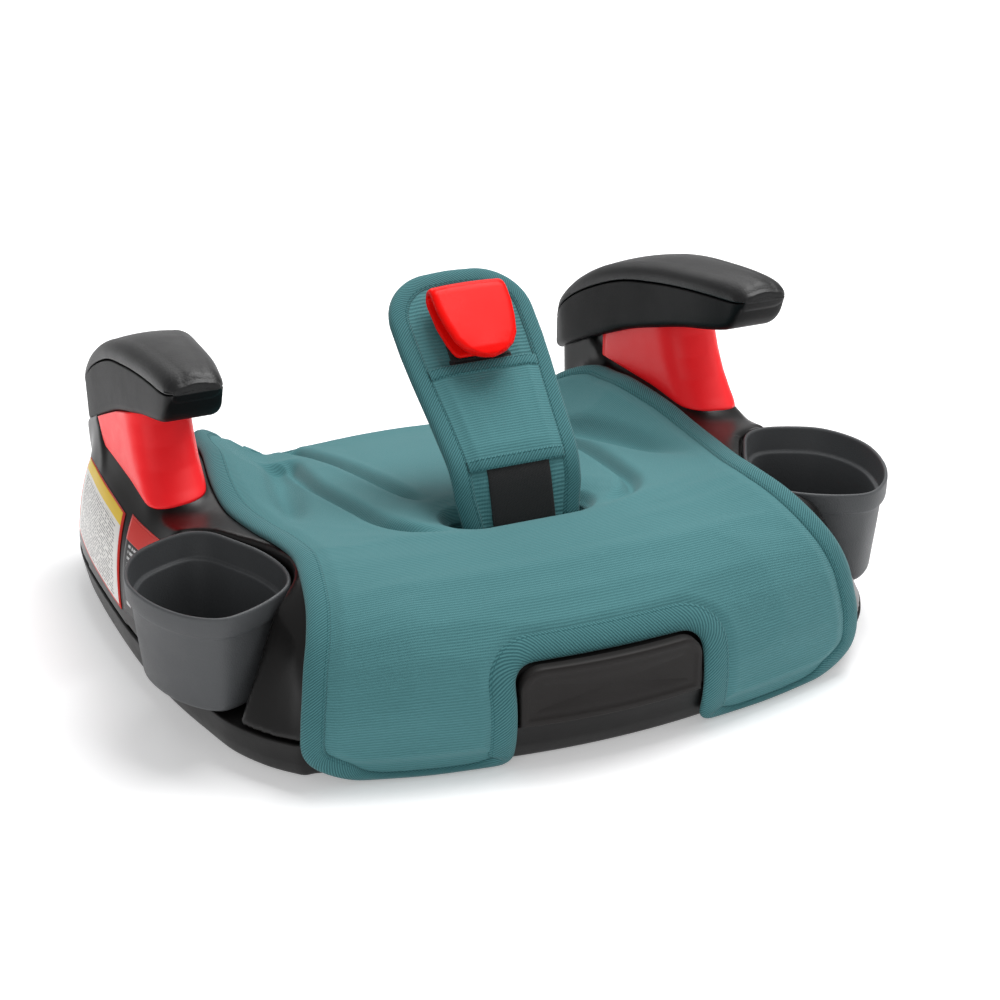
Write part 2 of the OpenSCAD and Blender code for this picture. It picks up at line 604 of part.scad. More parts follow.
// ---------- armrests ----------
module armrest_shell() color([0.05, 0.05, 0.055]) difference() {
    arm_part(0, 1, 6, 1.2);
    for (screw = ARM_SCREWS)
        translate([screw[0], screw[1], ARM_HOLE_Z]) cylinder(h = screw[3], r = 2.2, $fn = 32);
}

module armrest_pad() color([0.09, 0.09, 0.095])
    translate([0, 0, arm_gap]) arm_part(1, 2, 0.6, 11);

module belt_guide() color([0.85, 0.06, 0.05]) sheet(guide_grid(0), guide_grid(guide_t));

module armrest_screws() color(STEEL) both() for (screw = ARM_SCREWS) {
    translate([screw[0], screw[1], screw[2]]) cylinder(h = 3, r = 4, $fn = 48);
    translate([screw[0], screw[1], screw[2] + 2.9]) cylinder(h = 21, r = 1.9, $fn = 32);
}

// ---------- cup holders ----------
module cup_holder() {
    band_z = cup_rim_z - cup_band;
    taper_z = band_z - (band_z - cup_floor_z) * 0.4;
    color([0.2, 0.21, 0.22]) difference() {
        cup_loft([[cup_step + 8.5, cup_floor_z], [cup_step + 5.6, cup_floor_z + 1.4],
            [cup_step + 4, cup_floor_z + 4.5], [cup_step + 1.6, taper_z],
            [cup_step, band_z - 1.5], [0.7, band_z], [0.3, band_z + 0.8],
            [0, cup_rim_z - 1.2], [0.6, cup_rim_z]]);
        // inside, less the raised cap over the peg
        difference() {
            cup_loft([[cup_step + 9.5, cup_floor_z + 3], [cup_step + 7, cup_floor_z + 5.5],
                [cup_step + 1.6 + cup_wall, taper_z], [cup_step + cup_wall, band_z - 1.5],
                [cup_wall + 0.3, band_z + 1], [cup_wall, cup_rim_z - 1],
                [cup_wall - 0.4, cup_rim_z + 1]]);
            translate([PEG[0], PEG[1], 0]) cylinder(h = cup_floor_z + 8.5, r = 9, $fn = 48);
        }
        translate([PEG[0], PEG[1], cup_floor_z - 1]) cylinder(h = 6.5, r = 6.5, $fn = 48);
    }
}

// ---------- strap centre line ----------
// y, z where the strap starts, its lean there, and the distances where it bends
STRAP_START = [-60, 90];
START_LEAN = 16;
BEND_START = 14;
BEND_END = 44;
// height of the webbing off the centre line
WEB_H = 0.4;
// distance along the strap of the clip's origin
CLIP_DIST = 104;

function lean(dist) =
    blend(START_LEAN, strap_lean, smooth((dist - BEND_START) / (BEND_END - BEND_START)));
// y, z at a distance along the strap, added up in short steps
function centre(dist) = let (steps = 40, ds = dist / steps,
    path = [for (i = 0, y = STRAP_START[0], z = STRAP_START[1]; i <= steps;
        y = y + ds * sin(lean((i + 0.5) * ds)),
        z = z + ds * cos(lean((i + 0.5) * ds)),
        i = i + 1) [y, z]])
    path[steps];
// point at a distance along the strap, x across, h out of its front face
function strap_at(x, dist, h) = let (c = centre(dist), a = lean(dist))
    [x, c[0] - h * cos(a), c[1] + h * sin(a)];
// frame with Y up the strap and Z out of its front face
module strap_frame()
    translate([0, centre(CLIP_DIST)[0], centre(CLIP_DIST)[1]])
        rotate([90 - strap_lean, 0, 0]) children();

// ---------- webbing ----------
// distances along the strap at which the webbing is built
WEB_DIST = [5, 9, 13, 18, 23, 28, 33, 38, 44, 94.8];
// y, z of the clip's crossbar in the strap frame
CLIP_BAR = [1, 6.4];

function web_side(h) = [for (dist = WEB_DIST) let (p = strap_at(0, dist, h)) [p[1], p[2]]];

module strap_webbing() color(WEBBING) across(-web_w / 2, web_w / 2)
    polygon(concat(web_side(WEB_H), rev(web_side(WEB_H + web_t))));

// narrower end of the webbing, looped round the clip's crossbar
module clip_webbing() color(WEBBING) strap_frame() across(3 - web_w / 2, web_w / 2 - 3) {
    polygon([[-8.2, WEB_H], [-4.5, WEB_H], [1, 3], [1, 4.6],
        [-5.2, WEB_H + web_t], [-8.2, WEB_H + web_t]]);
    translate(CLIP_BAR) difference() {
        circle(r = 3.4, $fn = 48);
        circle(r = 1.75, $fn = 32);
    }
}

// lower end of the webbing, looped round the anchor bar
module strap_tail() color(WEBBING) across(-web_w / 2, web_w / 2) {
    polygon([[-61.2, 61], [-59.6, 92.6], [-61.4, 92.9], [-63, 61]]);
    translate([BAR_Y, BAR_Z]) difference() {
        circle(r = 5, $fn = 48);
        circle(r = BAR_HOLE_R, $fn = 48);
    }
}

module strap_anchor_bar() color([0.7, 0.71, 0.73])
    translate([-BAR_LENGTH / 2, BAR_Y, BAR_Z]) rotate([0, 90, 0])
        cylinder(h = BAR_LENGTH, r = BAR_R, $fn = 48);

// ---------- strap pad ----------
// rounded top corners: distance of their centres, radius, half width of the pad there
TOP_DIST = 126;
TOP_R = 31;
TOP_W = 43.5;
// distance along the strap, half width of the pad with its piping
PAD_WIDTH = [[4.8, 36], [12, 38.5], [28, 38.5], [60, 40.5], [90, 42.5], [108, 43.5],
    [TOP_DIST, TOP_W]];
PAD_DIST = [4.8, 12, 20, 28, 34, 40, 46, 60, 75, 90, 106];
PIPING_R = 3;
// sleeve over the webbing: distance along the strap, thickness
SLEEVE = [[94, 2.3], [88, 2.3], [87.2, 1.2], [75, 1.2], [60, 1.2], [50, 1.2], [44, 1.2],
    [39, 1.2], [34.2, 1.2], [33.4, 2.3], [27, 2.3]];

function pad_width(dist) = row(PAD_WIDTH, locate(PAD_WIDTH, 0, dist))[1];
// outline of the pad drawn in by depth: half width and distance, bottom to top
function pad_edge(depth) = concat(
    [for (dist = PAD_DIST) [pad_width(dist) - depth, dist]],
    [for (a = [0:15:90])
        [TOP_W - TOP_R + (TOP_R - depth) * cos(a), TOP_DIST + (TOP_R - depth) * sin(a)]]);
function pad_ring(half, dist) = let (edge = min(2.2, half / 3), flat_x = half - edge)
    [for (p = [[-half, -pad_t * 0.72], [-flat_x, -pad_t], [0, -pad_t], [flat_x, -pad_t],
            [half, -pad_t * 0.72], [half, -pad_t * 0.28], [flat_x, 0], [half / 2, 0],
            [0, 0], [-half / 2, 0], [-flat_x, 0], [-half, -pad_t * 0.28]])
        strap_at(p[0], dist, p[1])];

module strap_pad() color(FABRIC) loft([for (p = pad_edge(6.6)) rev(pad_ring(p[0], p[1]))]);

module strap_piping() color(EDGING) {
    h = -pad_t / 2;
    left = [for (p = pad_edge(PIPING_R)) strap_at(-p[0], max(p[1], 5.6), h)];
    top = strap_at(0, TOP_DIST + TOP_R - PIPING_R, h);
    tube(concat(left, [top], rev(mirror_x(left))), PIPING_R, false);
}

// x positions across the sleeve, which is raised over the webbing
function sleeve_xs(dist) = let (half = pad_width(dist) - 8.5)
    [-half, -23.5, -20.4, -10, 0, 10, 20.4, 23.5, half];
function sleeve_row(dist, thick) = [for (x = sleeve_xs(dist))
    strap_at(x, dist, (abs(x) < 21 ? web_t + WEB_H + 0.4 : 0.4) + thick)];

module strap_sleeve() color([0.33, 0.53, 0.54])
    sheet([for (p = SLEEVE) sleeve_row(p[0], p[1])], [for (p = SLEEVE) sleeve_row(p[0], 0)]);

// ---------- lap-belt clip ----------
// x, y of the right half of the clip outline, in the strap frame
CLIP_OUT = [[22.5, 38], [23.2, 24], [23, 16], [21.6, 6], [19, -3], [15, -9], [9, -12.8],
    [3, -14]];

// side view: back plate, sloping front plate and the bend that joins them at the top
module clip_profile() union() {
    polygon([[-5, 5], [26, 5], [26.4, 5.3], [26.4, 7.4], [26, 7.7], [-5, 7.7]]);
    polygon([[26.4, 17.3], [26.4, 19.6], [26, 19.8], [-15, 12.4], [-15, 9.7], [26, 17.1]]);
    translate([26, 12.4]) intersection() {
        difference() {
            circle(r = 7.4, $fn = 64);
            circle(r = 4.7, $fn = 48);
        }
        translate([0, -8]) square([8, 16]);
    }
}

// opening for the webbing loop, with the crossbar left standing
module clip_opening() difference() {
    translate([2 - web_w / 2, -2.9, 4]) cube([web_w - 4, 7.8, 5]);
    translate([-25, CLIP_BAR[0], CLIP_BAR[1]]) rotate([0, 90, 0])
        cylinder(h = 50, r = 1.4, $fn = 32);
}

module lap_belt_clip() color([0.85, 0.05, 0.04]) strap_frame() intersection() {
    across(-30, 30) clip_profile();
    translate([0, 0, -5]) linear_extrude(40)
        polygon(concat(CLIP_OUT, rev(mirror_x(CLIP_OUT))));
    difference() {
        translate([-30, -20, 0]) cube([60, 60, 30]);
        clip_opening();
    }
}

base_pan();
base_screws();
seat_shell();
front_panel();
foam_pad();
seat_cover();
cover_binding();
armrest_shell();  // armrest_shell_right
mirror([1, 0, 0]) armrest_shell();  // armrest_shell_left
armrest_pad();  // armrest_pad_right
mirror([1, 0, 0]) armrest_pad();  // armrest_pad_left
belt_guide();  // belt_guide_right
mirror([1, 0, 0]) belt_guide();  // belt_guide_left
armrest_screws();
cup_holder();  // cup_holder_right
mirror([1, 0, 0]) cup_holder();  // cup_holder_left
strap_webbing();
clip_webbing();
strap_tail();
strap_anchor_bar();
strap_pad();
strap_piping();
strap_sleeve();
lap_belt_clip();
side_label();
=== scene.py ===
"""Child's booster seat: knit cushion, hard shell, armrests, cup holders and a front strap.

The seat stands on z = 0 and is centred on x = 0. Its front faces -Y and its
right-hand pieces lie at +X. Lengths are millimetres; make() turns them into metres.
"""

import math
from functools import lru_cache

import bmesh
import bpy
import numpy as np
import openvdb as vdb
from mathutils import Matrix, Vector


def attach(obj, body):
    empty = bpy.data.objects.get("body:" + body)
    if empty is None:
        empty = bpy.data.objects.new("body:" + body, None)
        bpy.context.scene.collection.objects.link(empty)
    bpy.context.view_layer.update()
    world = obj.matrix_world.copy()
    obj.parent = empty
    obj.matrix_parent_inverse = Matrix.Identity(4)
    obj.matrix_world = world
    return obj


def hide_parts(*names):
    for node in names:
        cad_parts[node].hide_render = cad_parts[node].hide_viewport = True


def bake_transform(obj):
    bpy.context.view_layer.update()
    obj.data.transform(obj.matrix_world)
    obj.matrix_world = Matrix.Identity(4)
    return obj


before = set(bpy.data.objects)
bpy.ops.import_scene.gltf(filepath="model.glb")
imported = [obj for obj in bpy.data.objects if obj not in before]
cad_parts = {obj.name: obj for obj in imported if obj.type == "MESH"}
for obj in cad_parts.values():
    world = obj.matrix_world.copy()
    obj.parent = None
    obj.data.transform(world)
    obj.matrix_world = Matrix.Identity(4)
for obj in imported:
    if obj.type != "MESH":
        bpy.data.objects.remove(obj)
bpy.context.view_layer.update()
MM = 0.001

# =====================================================================
# measured tables and shared sizes
# =====================================================================
# Cushion surface, one station per row from the rear edge to the front edge:
# y middle, z middle, y side, half width, z side
COVER = np.array([
    [178, 38, 166, 98, 48], [176.5, 44.5, 158.5, 112, 64], [166, 49, 144, 126, 80],
    [145, 54, 125, 135, 89], [118, 60.5, 106, 138, 91.5], [85, 68, 85, 140, 94],
    [50, 75, 50, 146, 92], [18, 81, 18, 148, 90], [-18, 87, -18, 145, 93],
    [-48, 91.5, -48, 141, 97], [-76, 94.8, -76, 140, 100], [-104, 95.8, -101, 144, 98],
    [-130, 93, -123, 149, 91.5], [-152, 85, -139, 155, 81], [-169, 72, -147.5, 160, 68],
    [-180, 56, -152, 163, 53], [-185, 39, -154.5, 165.2, 37], [-184.5, 20, -154, 164.3, 19],
    [-179, 2.8, -157, 152, 4.5]], float)
# Shell, rear to front: the five COVER columns, then x, y, z of the shoulder,
# of the middle of the flank and of its foot
SHELL = np.array([
    [184, 25.3, 181.5, 100, 25.3,  150, 177.5, 25.3,  180, 168, 25.3,  196, 155, 25.3],
    [182.8, 28, 175, 104, 33,  152, 173.5, 62,  186, 162, 50,  202, 148, 25.3],
    [175, 30, 155, 112, 49,  165, 163.5, 82,  192, 154, 58,  205, 141, 25.3],
    [163, 34.5, 143, 126, 75,  184, 150, 87,  200, 142, 60,  208.5, 130, 25.3],
    [143, 40, 124, 135, 84.2,  187, 127, 87,  203, 121, 60,  211.5, 111, 25.3],
    [117, 46, 105, 138, 86.7,  187.5, 107, 86,  205, 101, 60,  212.8, 92, 25.3],
    [85, 53, 85, 140, 89.2,  188, 85, 85,  206, 80, 60,  213.3, 72, 25.3],
    [50, 60, 50, 146, 87.2,  188, 50, 83,  206, 46, 59,  213.3, 40, 25.3],
    [18, 66, 18, 148, 85.2,  186, 20, 84,  204, 17, 59,  212.5, 10, 25.3],
    [-18, 71.5, -18, 145, 88.2,  184, -14, 90.5,  201, -16, 58,  210, -21, 25.3],
    [-48, 76, -48, 141, 92.2,  180, -46, 90,  197, -47, 58,  206, -50, 25.3],
    [-75, 79, -75, 140, 95,  174, -73, 89,  191, -76, 57,  200, -80, 25.3],
    [-102, 80.5, -99, 144, 93,  165, -99, 86,  182, -103, 55,  193.5, -107.5, 25.3],
    [-126, 79.5, -120, 149, 86.5,  160, -119, 79,  173, -123, 52,  183.5, -128, 25.3],
    [-145.5, 75, -134.5, 154.5, 76,  161.5, -132.5, 69,  169.5, -134, 47,  175.5, -139, 25.3],
    [-161, 65, -142, 158.5, 64,  163, -140, 57,  167, -141, 40,  170.5, -144.5, 25.3],
    [-172.5, 52, -145.6, 160.6, 50.5,  163.6, -144.2, 45,  166, -145.4, 34,  168, -147.4, 25.3],
    [-178.6, 38, -147, 161.6, 36,  163.6, -146.6, 33.5,  165.3, -147.6, 29.2,  166.8, -149, 25.3],
    [-179.6, 25.3, -147.6, 162, 25.3,  163.4, -148.3, 25.3,  165, -149, 25.3,  166.4, -149.6, 25.3],
], float)
LAST = 18.0  # last station of COVER and SHELL
JOINT_Z = 25.3  # foot of the shell
# Cup holder rim in plan, right side: x, y
CUP = np.array([
    [228.5, -58], [225.3, -38], [214.5, -20], [198, -10], [181, -5.5], [168, -11],
    [158, -27], [148.5, -47], [144, -70], [148, -88], [161, -101], [180, -111],
    [196, -113], [211.5, -102], [223.2, -82]], float)
# Armrest, rear to front tip: y and z of the top, of the split line and of the
# underside, then x inner and x outer
ARM = np.array([
    [175, 110, 176, 104, 176.3, 82, 129, 185.5],
    [169.5, 121.5, 165.5, 116, 161, 90, 126.5, 189],
    [157, 136, 150.5, 128.5, 143, 100, 128.5, 190.2],
    [133, 151.5, 128, 141.5, 121, 110.5, 133, 190.5],
    [105, 163, 101.5, 153, 96, 122, 138.5, 190.5],
    [75, 171.5, 72.5, 160.5, 68, 132, 144, 190.5],
    [45, 177.5, 44, 166.5, 43, 140.5, 148, 190.5],
    [18, 182, 17.5, 170.8, 18, 147.5, 151.5, 190.5],
    [-1, 184.1, -3, 173.2, 1, 153, 155, 190.3],
    [-11.5, 183.8, -12.5, 174.6, -7, 159.5, 156.8, 189.4],
    [-16.5, 180.8, -17, 175.6, -12.5, 168.5, 159.5, 186.7]], float)
ARM_TOP, ARM_SPLIT, ARM_UNDER = slice(0, 2), slice(2, 4), slice(4, 6)
# Post under the armrest by height: z, y front, y rear, x inner, x at the bend, x outer
POST = np.array([
    [62, 6, 171, 153, 140.5, 188], [74, 16, 172, 153, 140.5, 189],
    [84, 27, 172.5, 153, 140.5, 189.5], [92, 37, 173, 153, 140.5, 189.6],
    [102, 47, 173.3, 153, 140.5, 189.6], [114, 55, 173.5, 153, 140.5, 189.6],
    [126, 60.5, 173.5, 153, 140.5, 189.6], [140, 64, 173.5, 153, 140.5, 189.6],
    [158, 65, 173.5, 153, 140.5, 189.6]], float)
POST_BEND_Y, POST_REAR_X, POST_CORNER = 134.5, 128.5, 17
GUIDE_THICK = 3.0

CUT_HALF, CUT_Z, CUT_RADIUS = 58.0, 64.0, 14.0  # cut-out in the cover's front
HOLE_Y, HOLE_STRAIGHT, HOLE_RADIUS = -52.0, 25.0, 16.0  # round-ended hole for the strap

PANEL_HALF, PANEL_LOW, PANEL_TOP, PANEL_CORNER = 53.5, 25.8, 59.6, 13.0
PANEL_GAP = 0.8
PANEL_AXIS_Y = 119.5  # upright axis of the front panel's curve

STITCH_LENGTH, STITCH_RADIUS, STITCH_FLAT = 2.3, 0.24, 0.7


# =====================================================================
# curves
# =====================================================================
def catmull(p0, p1, p2, p3, u):
    return 0.5 * (2 * p1 + (p2 - p0) * u + (2 * p0 - 5 * p1 + 4 * p2 - p3) * u * u
                  + (3 * p1 - p0 - 3 * p2 + p3) * u ** 3)


def station(table, t):
    """Smoothly interpolated row of a table."""
    t = np.asarray(t, float)
    last = len(table) - 1
    k = np.clip(np.floor(t).astype(int), 0, last - 1)
    rows = table[np.maximum(k - 1, 0)], table[k], table[k + 1], table[np.minimum(k + 2, last)]
    return catmull(*rows, (t - k)[..., None])


def smooth_loop(points, per_side):
    u = (np.arange(per_side) / per_side)[None, :, None]
    near = [np.roll(points, shift, 0)[:, None] for shift in (1, 0, -1, -2)]
    return catmull(*near, u).reshape(-1, points.shape[1])


def smooth(u):
    v = np.clip(u, 0, 1)
    return v * v * (3 - 2 * v)


def unit(v):
    return v / np.maximum(np.linalg.norm(v, axis=-1, keepdims=True), 1e-9)


def pairs(x, y):
    return np.stack(np.broadcast_arrays(x, y), -1)


def arc(x, y, radius, start, end, count, stretch=1.0):
    """Points of an arc about (x, y), angles in degrees; stretch widens it along x."""
    angle = np.radians(np.linspace(start, end, count))
    return pairs(x + radius * stretch * np.cos(angle), y + radius * np.sin(angle))


def arc_len(path):
    return np.concatenate([[0], np.cumsum(np.linalg.norm(np.diff(path, axis=0), axis=1))])


def sample(path, lengths, at):
    return np.stack([np.interp(at, lengths, path[:, k]) for k in range(path.shape[1])], 1)


def resample(path, step, closed=False):
    if closed:
        path = np.vstack([path, path[:1]])
    lengths = arc_len(path)
    count = max(2, int(round(lengths[-1] / step)))
    return sample(path, lengths, np.linspace(0, lengths[-1], count, endpoint=not closed))


def blur_loop(points, steps):
    """Gaussian smoothing of a closed loop."""
    gain = np.exp(-2 * (np.pi * np.fft.fftfreq(len(points)) * steps) ** 2)
    return np.real(np.fft.ifft(np.fft.fft(points, axis=0) * gain[:, None], axis=0))


def side_normals(path, closed=False):
    """Unit normals on the left of a plane path: inward for a counter-clockwise loop."""
    step = np.roll(path, -1, 0) - np.roll(path, 1, 0) if closed else np.gradient(path, axis=0)
    tangent = unit(step)
    return np.stack([-tangent[:, 1], tangent[:, 0]], 1)


def to_segments(points, start, end):
    """Distance of every point to every segment, and its place 0..1 along each."""
    side = end - start
    u = np.clip(((points[:, None] - start) * side).sum(2) / (side ** 2).sum(1), 0, 1)
    gap = start + side * u[..., None] - points[:, None]
    return np.sqrt((gap ** 2).sum(2)), u


def loop_distance(x, y, loop):
    """Signed distance to a closed polygon, negative inside."""
    points = np.stack([x.ravel(), y.ravel()], 1)
    out = np.empty(len(points))
    start, end = loop, np.roll(loop, -1, 0)
    side, y0, y1 = end - start, start[:, 1], end[:, 1]
    for i in range(0, len(points), 4000):
        part = points[i:i + 4000]
        distance = to_segments(part, start, end)[0].min(1)
        px, py = part[:, None, 0], part[:, None, 1]
        rise = np.where(y1 == y0, 1e-9, y1 - y0)
        crossing = start[:, 0] + (py - y0) / rise * side[:, 0]
        hits = ((y0 > py) != (y1 > py)) & (px < crossing)
        out[i:i + 4000] = np.where(hits.sum(1) % 2 == 1, -distance, distance)
    return out.reshape(x.shape)


def deck_point(rows, across):
    """Point on a top surface; across runs -1..1 from left to right."""
    a = np.abs(across)
    return np.stack([rows[..., 3] * across, rows[..., 0] + (rows[..., 2] - rows[..., 0]) * a * a,
                     rows[..., 1] + (rows[..., 4] - rows[..., 1]) * smooth((a - 0.62) / 0.38)], -1)


def cover_at(t, across):
    return deck_point(station(COVER, t), across)


def flank_point(rows, u):
    """Right flank: u 0..1 from deck edge to shoulder, 1..2 on down to the foot."""
    edge, shoulder = rows[..., [3, 2, 4]], rows[..., 5:8]
    middle, foot = rows[..., 8:11], rows[..., 11:14]
    u = np.asarray(u)[..., None]
    v = np.clip(u - 1, 0, 1)
    inner = edge + (shoulder - edge) * np.minimum(u, 1)
    handle = 2 * middle - (shoulder + foot) / 2
    outer = (1 - v) ** 2 * shoulder + 2 * v * (1 - v) * handle + v * v * foot
    return np.where(u <= 1, inner, outer)


# =====================================================================
# mesh tools
# =====================================================================
def grid_faces(rows, cols, wrap=False, off=0):
    i = np.arange(rows * cols).reshape(rows, cols) + off
    if wrap:
        i = np.hstack([i, i[:, :1]])
    return np.stack([i[:-1, :-1], i[:-1, 1:], i[1:, 1:], i[1:, :-1]], -1).reshape(-1, 4)


def slab_faces(rows, cols):
    """Two grids of points, one after the other, joined round the edge."""
    count = rows * cols
    i = np.arange(count).reshape(rows, cols)
    edge = np.concatenate([i[0, :], i[1:, -1], i[-1, :-1][::-1], i[1:-1, 0][::-1]])
    following = np.roll(edge, -1)
    rim = np.stack([following, edge, edge + count, following + count], 1)
    return np.vstack([grid_faces(rows, cols), grid_faces(rows, cols, off=count)[:, ::-1], rim])


def capped_tube(rings):
    """Vertices, side quads and end fans of a stack of closed rings."""
    count, around = rings.shape[:2]
    j = np.arange(around)
    k = (j + 1) % around
    first, end = np.full(around, count * around), (count - 1) * around
    fans = np.stack([first, k, j, first + 1, end + j, end + k], 1).reshape(-1, 3)
    verts = np.vstack([rings.reshape(-1, 3), rings[0].mean(0), rings[-1].mean(0)])
    return verts, grid_faces(count, around, wrap=True), fans


def face_outward(mesh, weld=False):
    work = bmesh.new()
    work.from_mesh(mesh)
    if weld:
        bmesh.ops.remove_doubles(work, verts=work.verts, dist=1e-6)
    bmesh.ops.recalc_face_normals(work, faces=work.faces)
    work.to_mesh(mesh)
    work.free()


def link_object(name, mesh):
    obj = bpy.data.objects.new(name, mesh)
    bpy.context.scene.collection.objects.link(obj)
    return obj


def make(name, verts, faces, mat, uv=None, fix=False):
    """A smooth-shaded object from millimetre points."""
    mesh = bpy.data.meshes.new(name)
    points = np.asarray(verts, float).reshape(-1, 3) * MM
    mesh.from_pydata(points.tolist(), [], [list(map(int, face)) for face in faces])
    if uv is not None:
        layer = mesh.uv_layers.new(name="UVMap")
        corner = np.zeros(len(mesh.loops), np.int32)
        mesh.loops.foreach_get("vertex_index", corner)
        layer.data.foreach_set("uv", np.asarray(uv, np.float32).reshape(-1, 2)[corner].ravel())
    mesh.validate()
    if fix:
        face_outward(mesh)
    mesh.polygons.foreach_set("use_smooth", [True] * len(mesh.polygons))
    mesh.update()
    obj = link_object(name, mesh)
    mesh.materials.append(mat)
    return obj


def make_welded(name, verts, faces, mat, uv):
    obj = make(name, verts, faces, mat, uv=uv)
    face_outward(obj.data, weld=True)
    return obj


def loft(name, rings, mat, uv=None):
    verts, sides, fans = capped_tube(np.asarray(rings, float))
    if uv is not None:
        uv = np.vstack([uv.reshape(-1, 2), np.zeros((2, 2))])
    return make(name, verts, [*sides, *fans], mat, uv=uv, fix=True)


def slab(name, top, bottom, mat, uv=None):
    """A closed solid between two grids of points."""
    if uv is not None:
        uv = np.vstack([uv.reshape(-1, 2)] * 2)
    verts = np.vstack([top.reshape(-1, 3), bottom.reshape(-1, 3)])
    return make(name, verts, slab_faces(*top.shape[:2]), mat, uv=uv, fix=True)


def closed_strip(name, rows, uv, mat):
    """Tube along a path from rows whose last repeats the first, with flat ends."""
    count, cols = rows.shape[:2]
    verts = rows.reshape(-1, 3)
    total = len(verts)
    faces = list(grid_faces(count, cols))
    for i in range(count - 1):
        faces.append([total, i * cols, (i + 1) * cols])
        faces.append([total + 1, (i + 1) * cols + cols - 1, i * cols + cols - 1])
    verts = np.vstack([verts, rows[:-1, 0].mean(0), rows[:-1, -1].mean(0)])
    return make_welded(name, verts, faces, mat, np.vstack([uv.reshape(-1, 2), np.zeros((2, 2))]))


def kept_part(keep):
    """Used points of a grid, and the renumbered faces whose corners are all kept."""
    faces = grid_faces(*keep.shape)
    faces = faces[keep.ravel()[faces].all(1)]
    used = np.zeros(keep.size, bool)
    used[faces.ravel()] = True
    number = -np.ones(keep.size, int)
    number[used] = np.arange(used.sum())
    return used, number[faces]


def evaluated(obj):
    return obj.evaluated_get(bpy.context.evaluated_depsgraph_get())


def thicken(obj, thickness):
    """Turns an open sheet face up, then gives it thickness underneath."""
    old = obj.data
    normals = np.zeros(len(old.polygons) * 3, np.float32)
    old.polygons.foreach_get("normal", normals)
    if normals[2::3].sum() < 0:
        old.flip_normals()
    solid = obj.modifiers.new("t", "SOLIDIFY")
    solid.thickness = thickness * MM
    solid.offset = -1
    mesh = bpy.data.meshes.new_from_object(evaluated(obj))
    mesh.name = obj.name
    obj.modifiers.clear()
    obj.data = mesh
    bpy.data.meshes.remove(old)


def mirrored(obj, name):
    """The same piece on the other side of x = 0."""
    mesh = obj.data.copy()
    mesh.name = name
    points = np.zeros(len(mesh.vertices) * 3, np.float32)
    mesh.vertices.foreach_get("co", points)
    points[0::3] *= -1
    mesh.vertices.foreach_set("co", points)
    mesh.flip_normals()
    return link_object(name, mesh)


def stitches(name, lines, pitch, mat):
    """Short stitches along lines, each given as (path, normals), in one mesh."""
    centres, along, normals = [], [], []
    for path, path_normals in lines:
        lengths = arc_len(path)
        at = np.arange(pitch / 2, lengths[-1], pitch)
        centres.append(sample(path, lengths, at))
        along.append(sample(path, lengths, at + STITCH_LENGTH / 2)
                     - sample(path, lengths, at - STITCH_LENGTH / 2))
        normals.append(unit(sample(path_normals, lengths, at)))
    centres, tangent, normal = np.vstack(centres), unit(np.vstack(along)), np.vstack(normals)
    side = unit(np.cross(tangent, unit(normal)))
    normal = np.cross(side, tangent)
    # place along the stitch and share of the radius there
    profile = [(-0.5, 0.35), (-0.36, 0.85), (0, 1.0), (0.36, 0.85), (0.5, 0.35)]
    around = 6
    base = np.array([(a, r * math.cos(g), r * math.sin(g) * STITCH_FLAT)
                     for a, r in profile for g in np.arange(around) * 2 * np.pi / around])
    total = len(base)
    points = (centres[:, None] + tangent[:, None] * base[None, :, :1] * STITCH_LENGTH
              + side[:, None] * base[None, :, 1:2] * STITCH_RADIUS
              + normal[:, None] * base[None, :, 2:3] * STITCH_RADIUS)
    one = grid_faces(len(profile), around, wrap=True).tolist()
    one += [list(range(around))[::-1], list(range(total - around, total))]
    faces = [[corner + i * total for corner in face] for i in range(len(centres)) for face in one]
    return make(name, points, faces, mat)


# =====================================================================
# materials, all procedural
# =====================================================================
def srgb(red, green, blue):
    def linear(c):
        return c / 12.92 if c <= 0.04045 else ((c + 0.055) / 1.055) ** 2.4
    return tuple(linear(c / 255) for c in (red, green, blue)) + (1.0,)


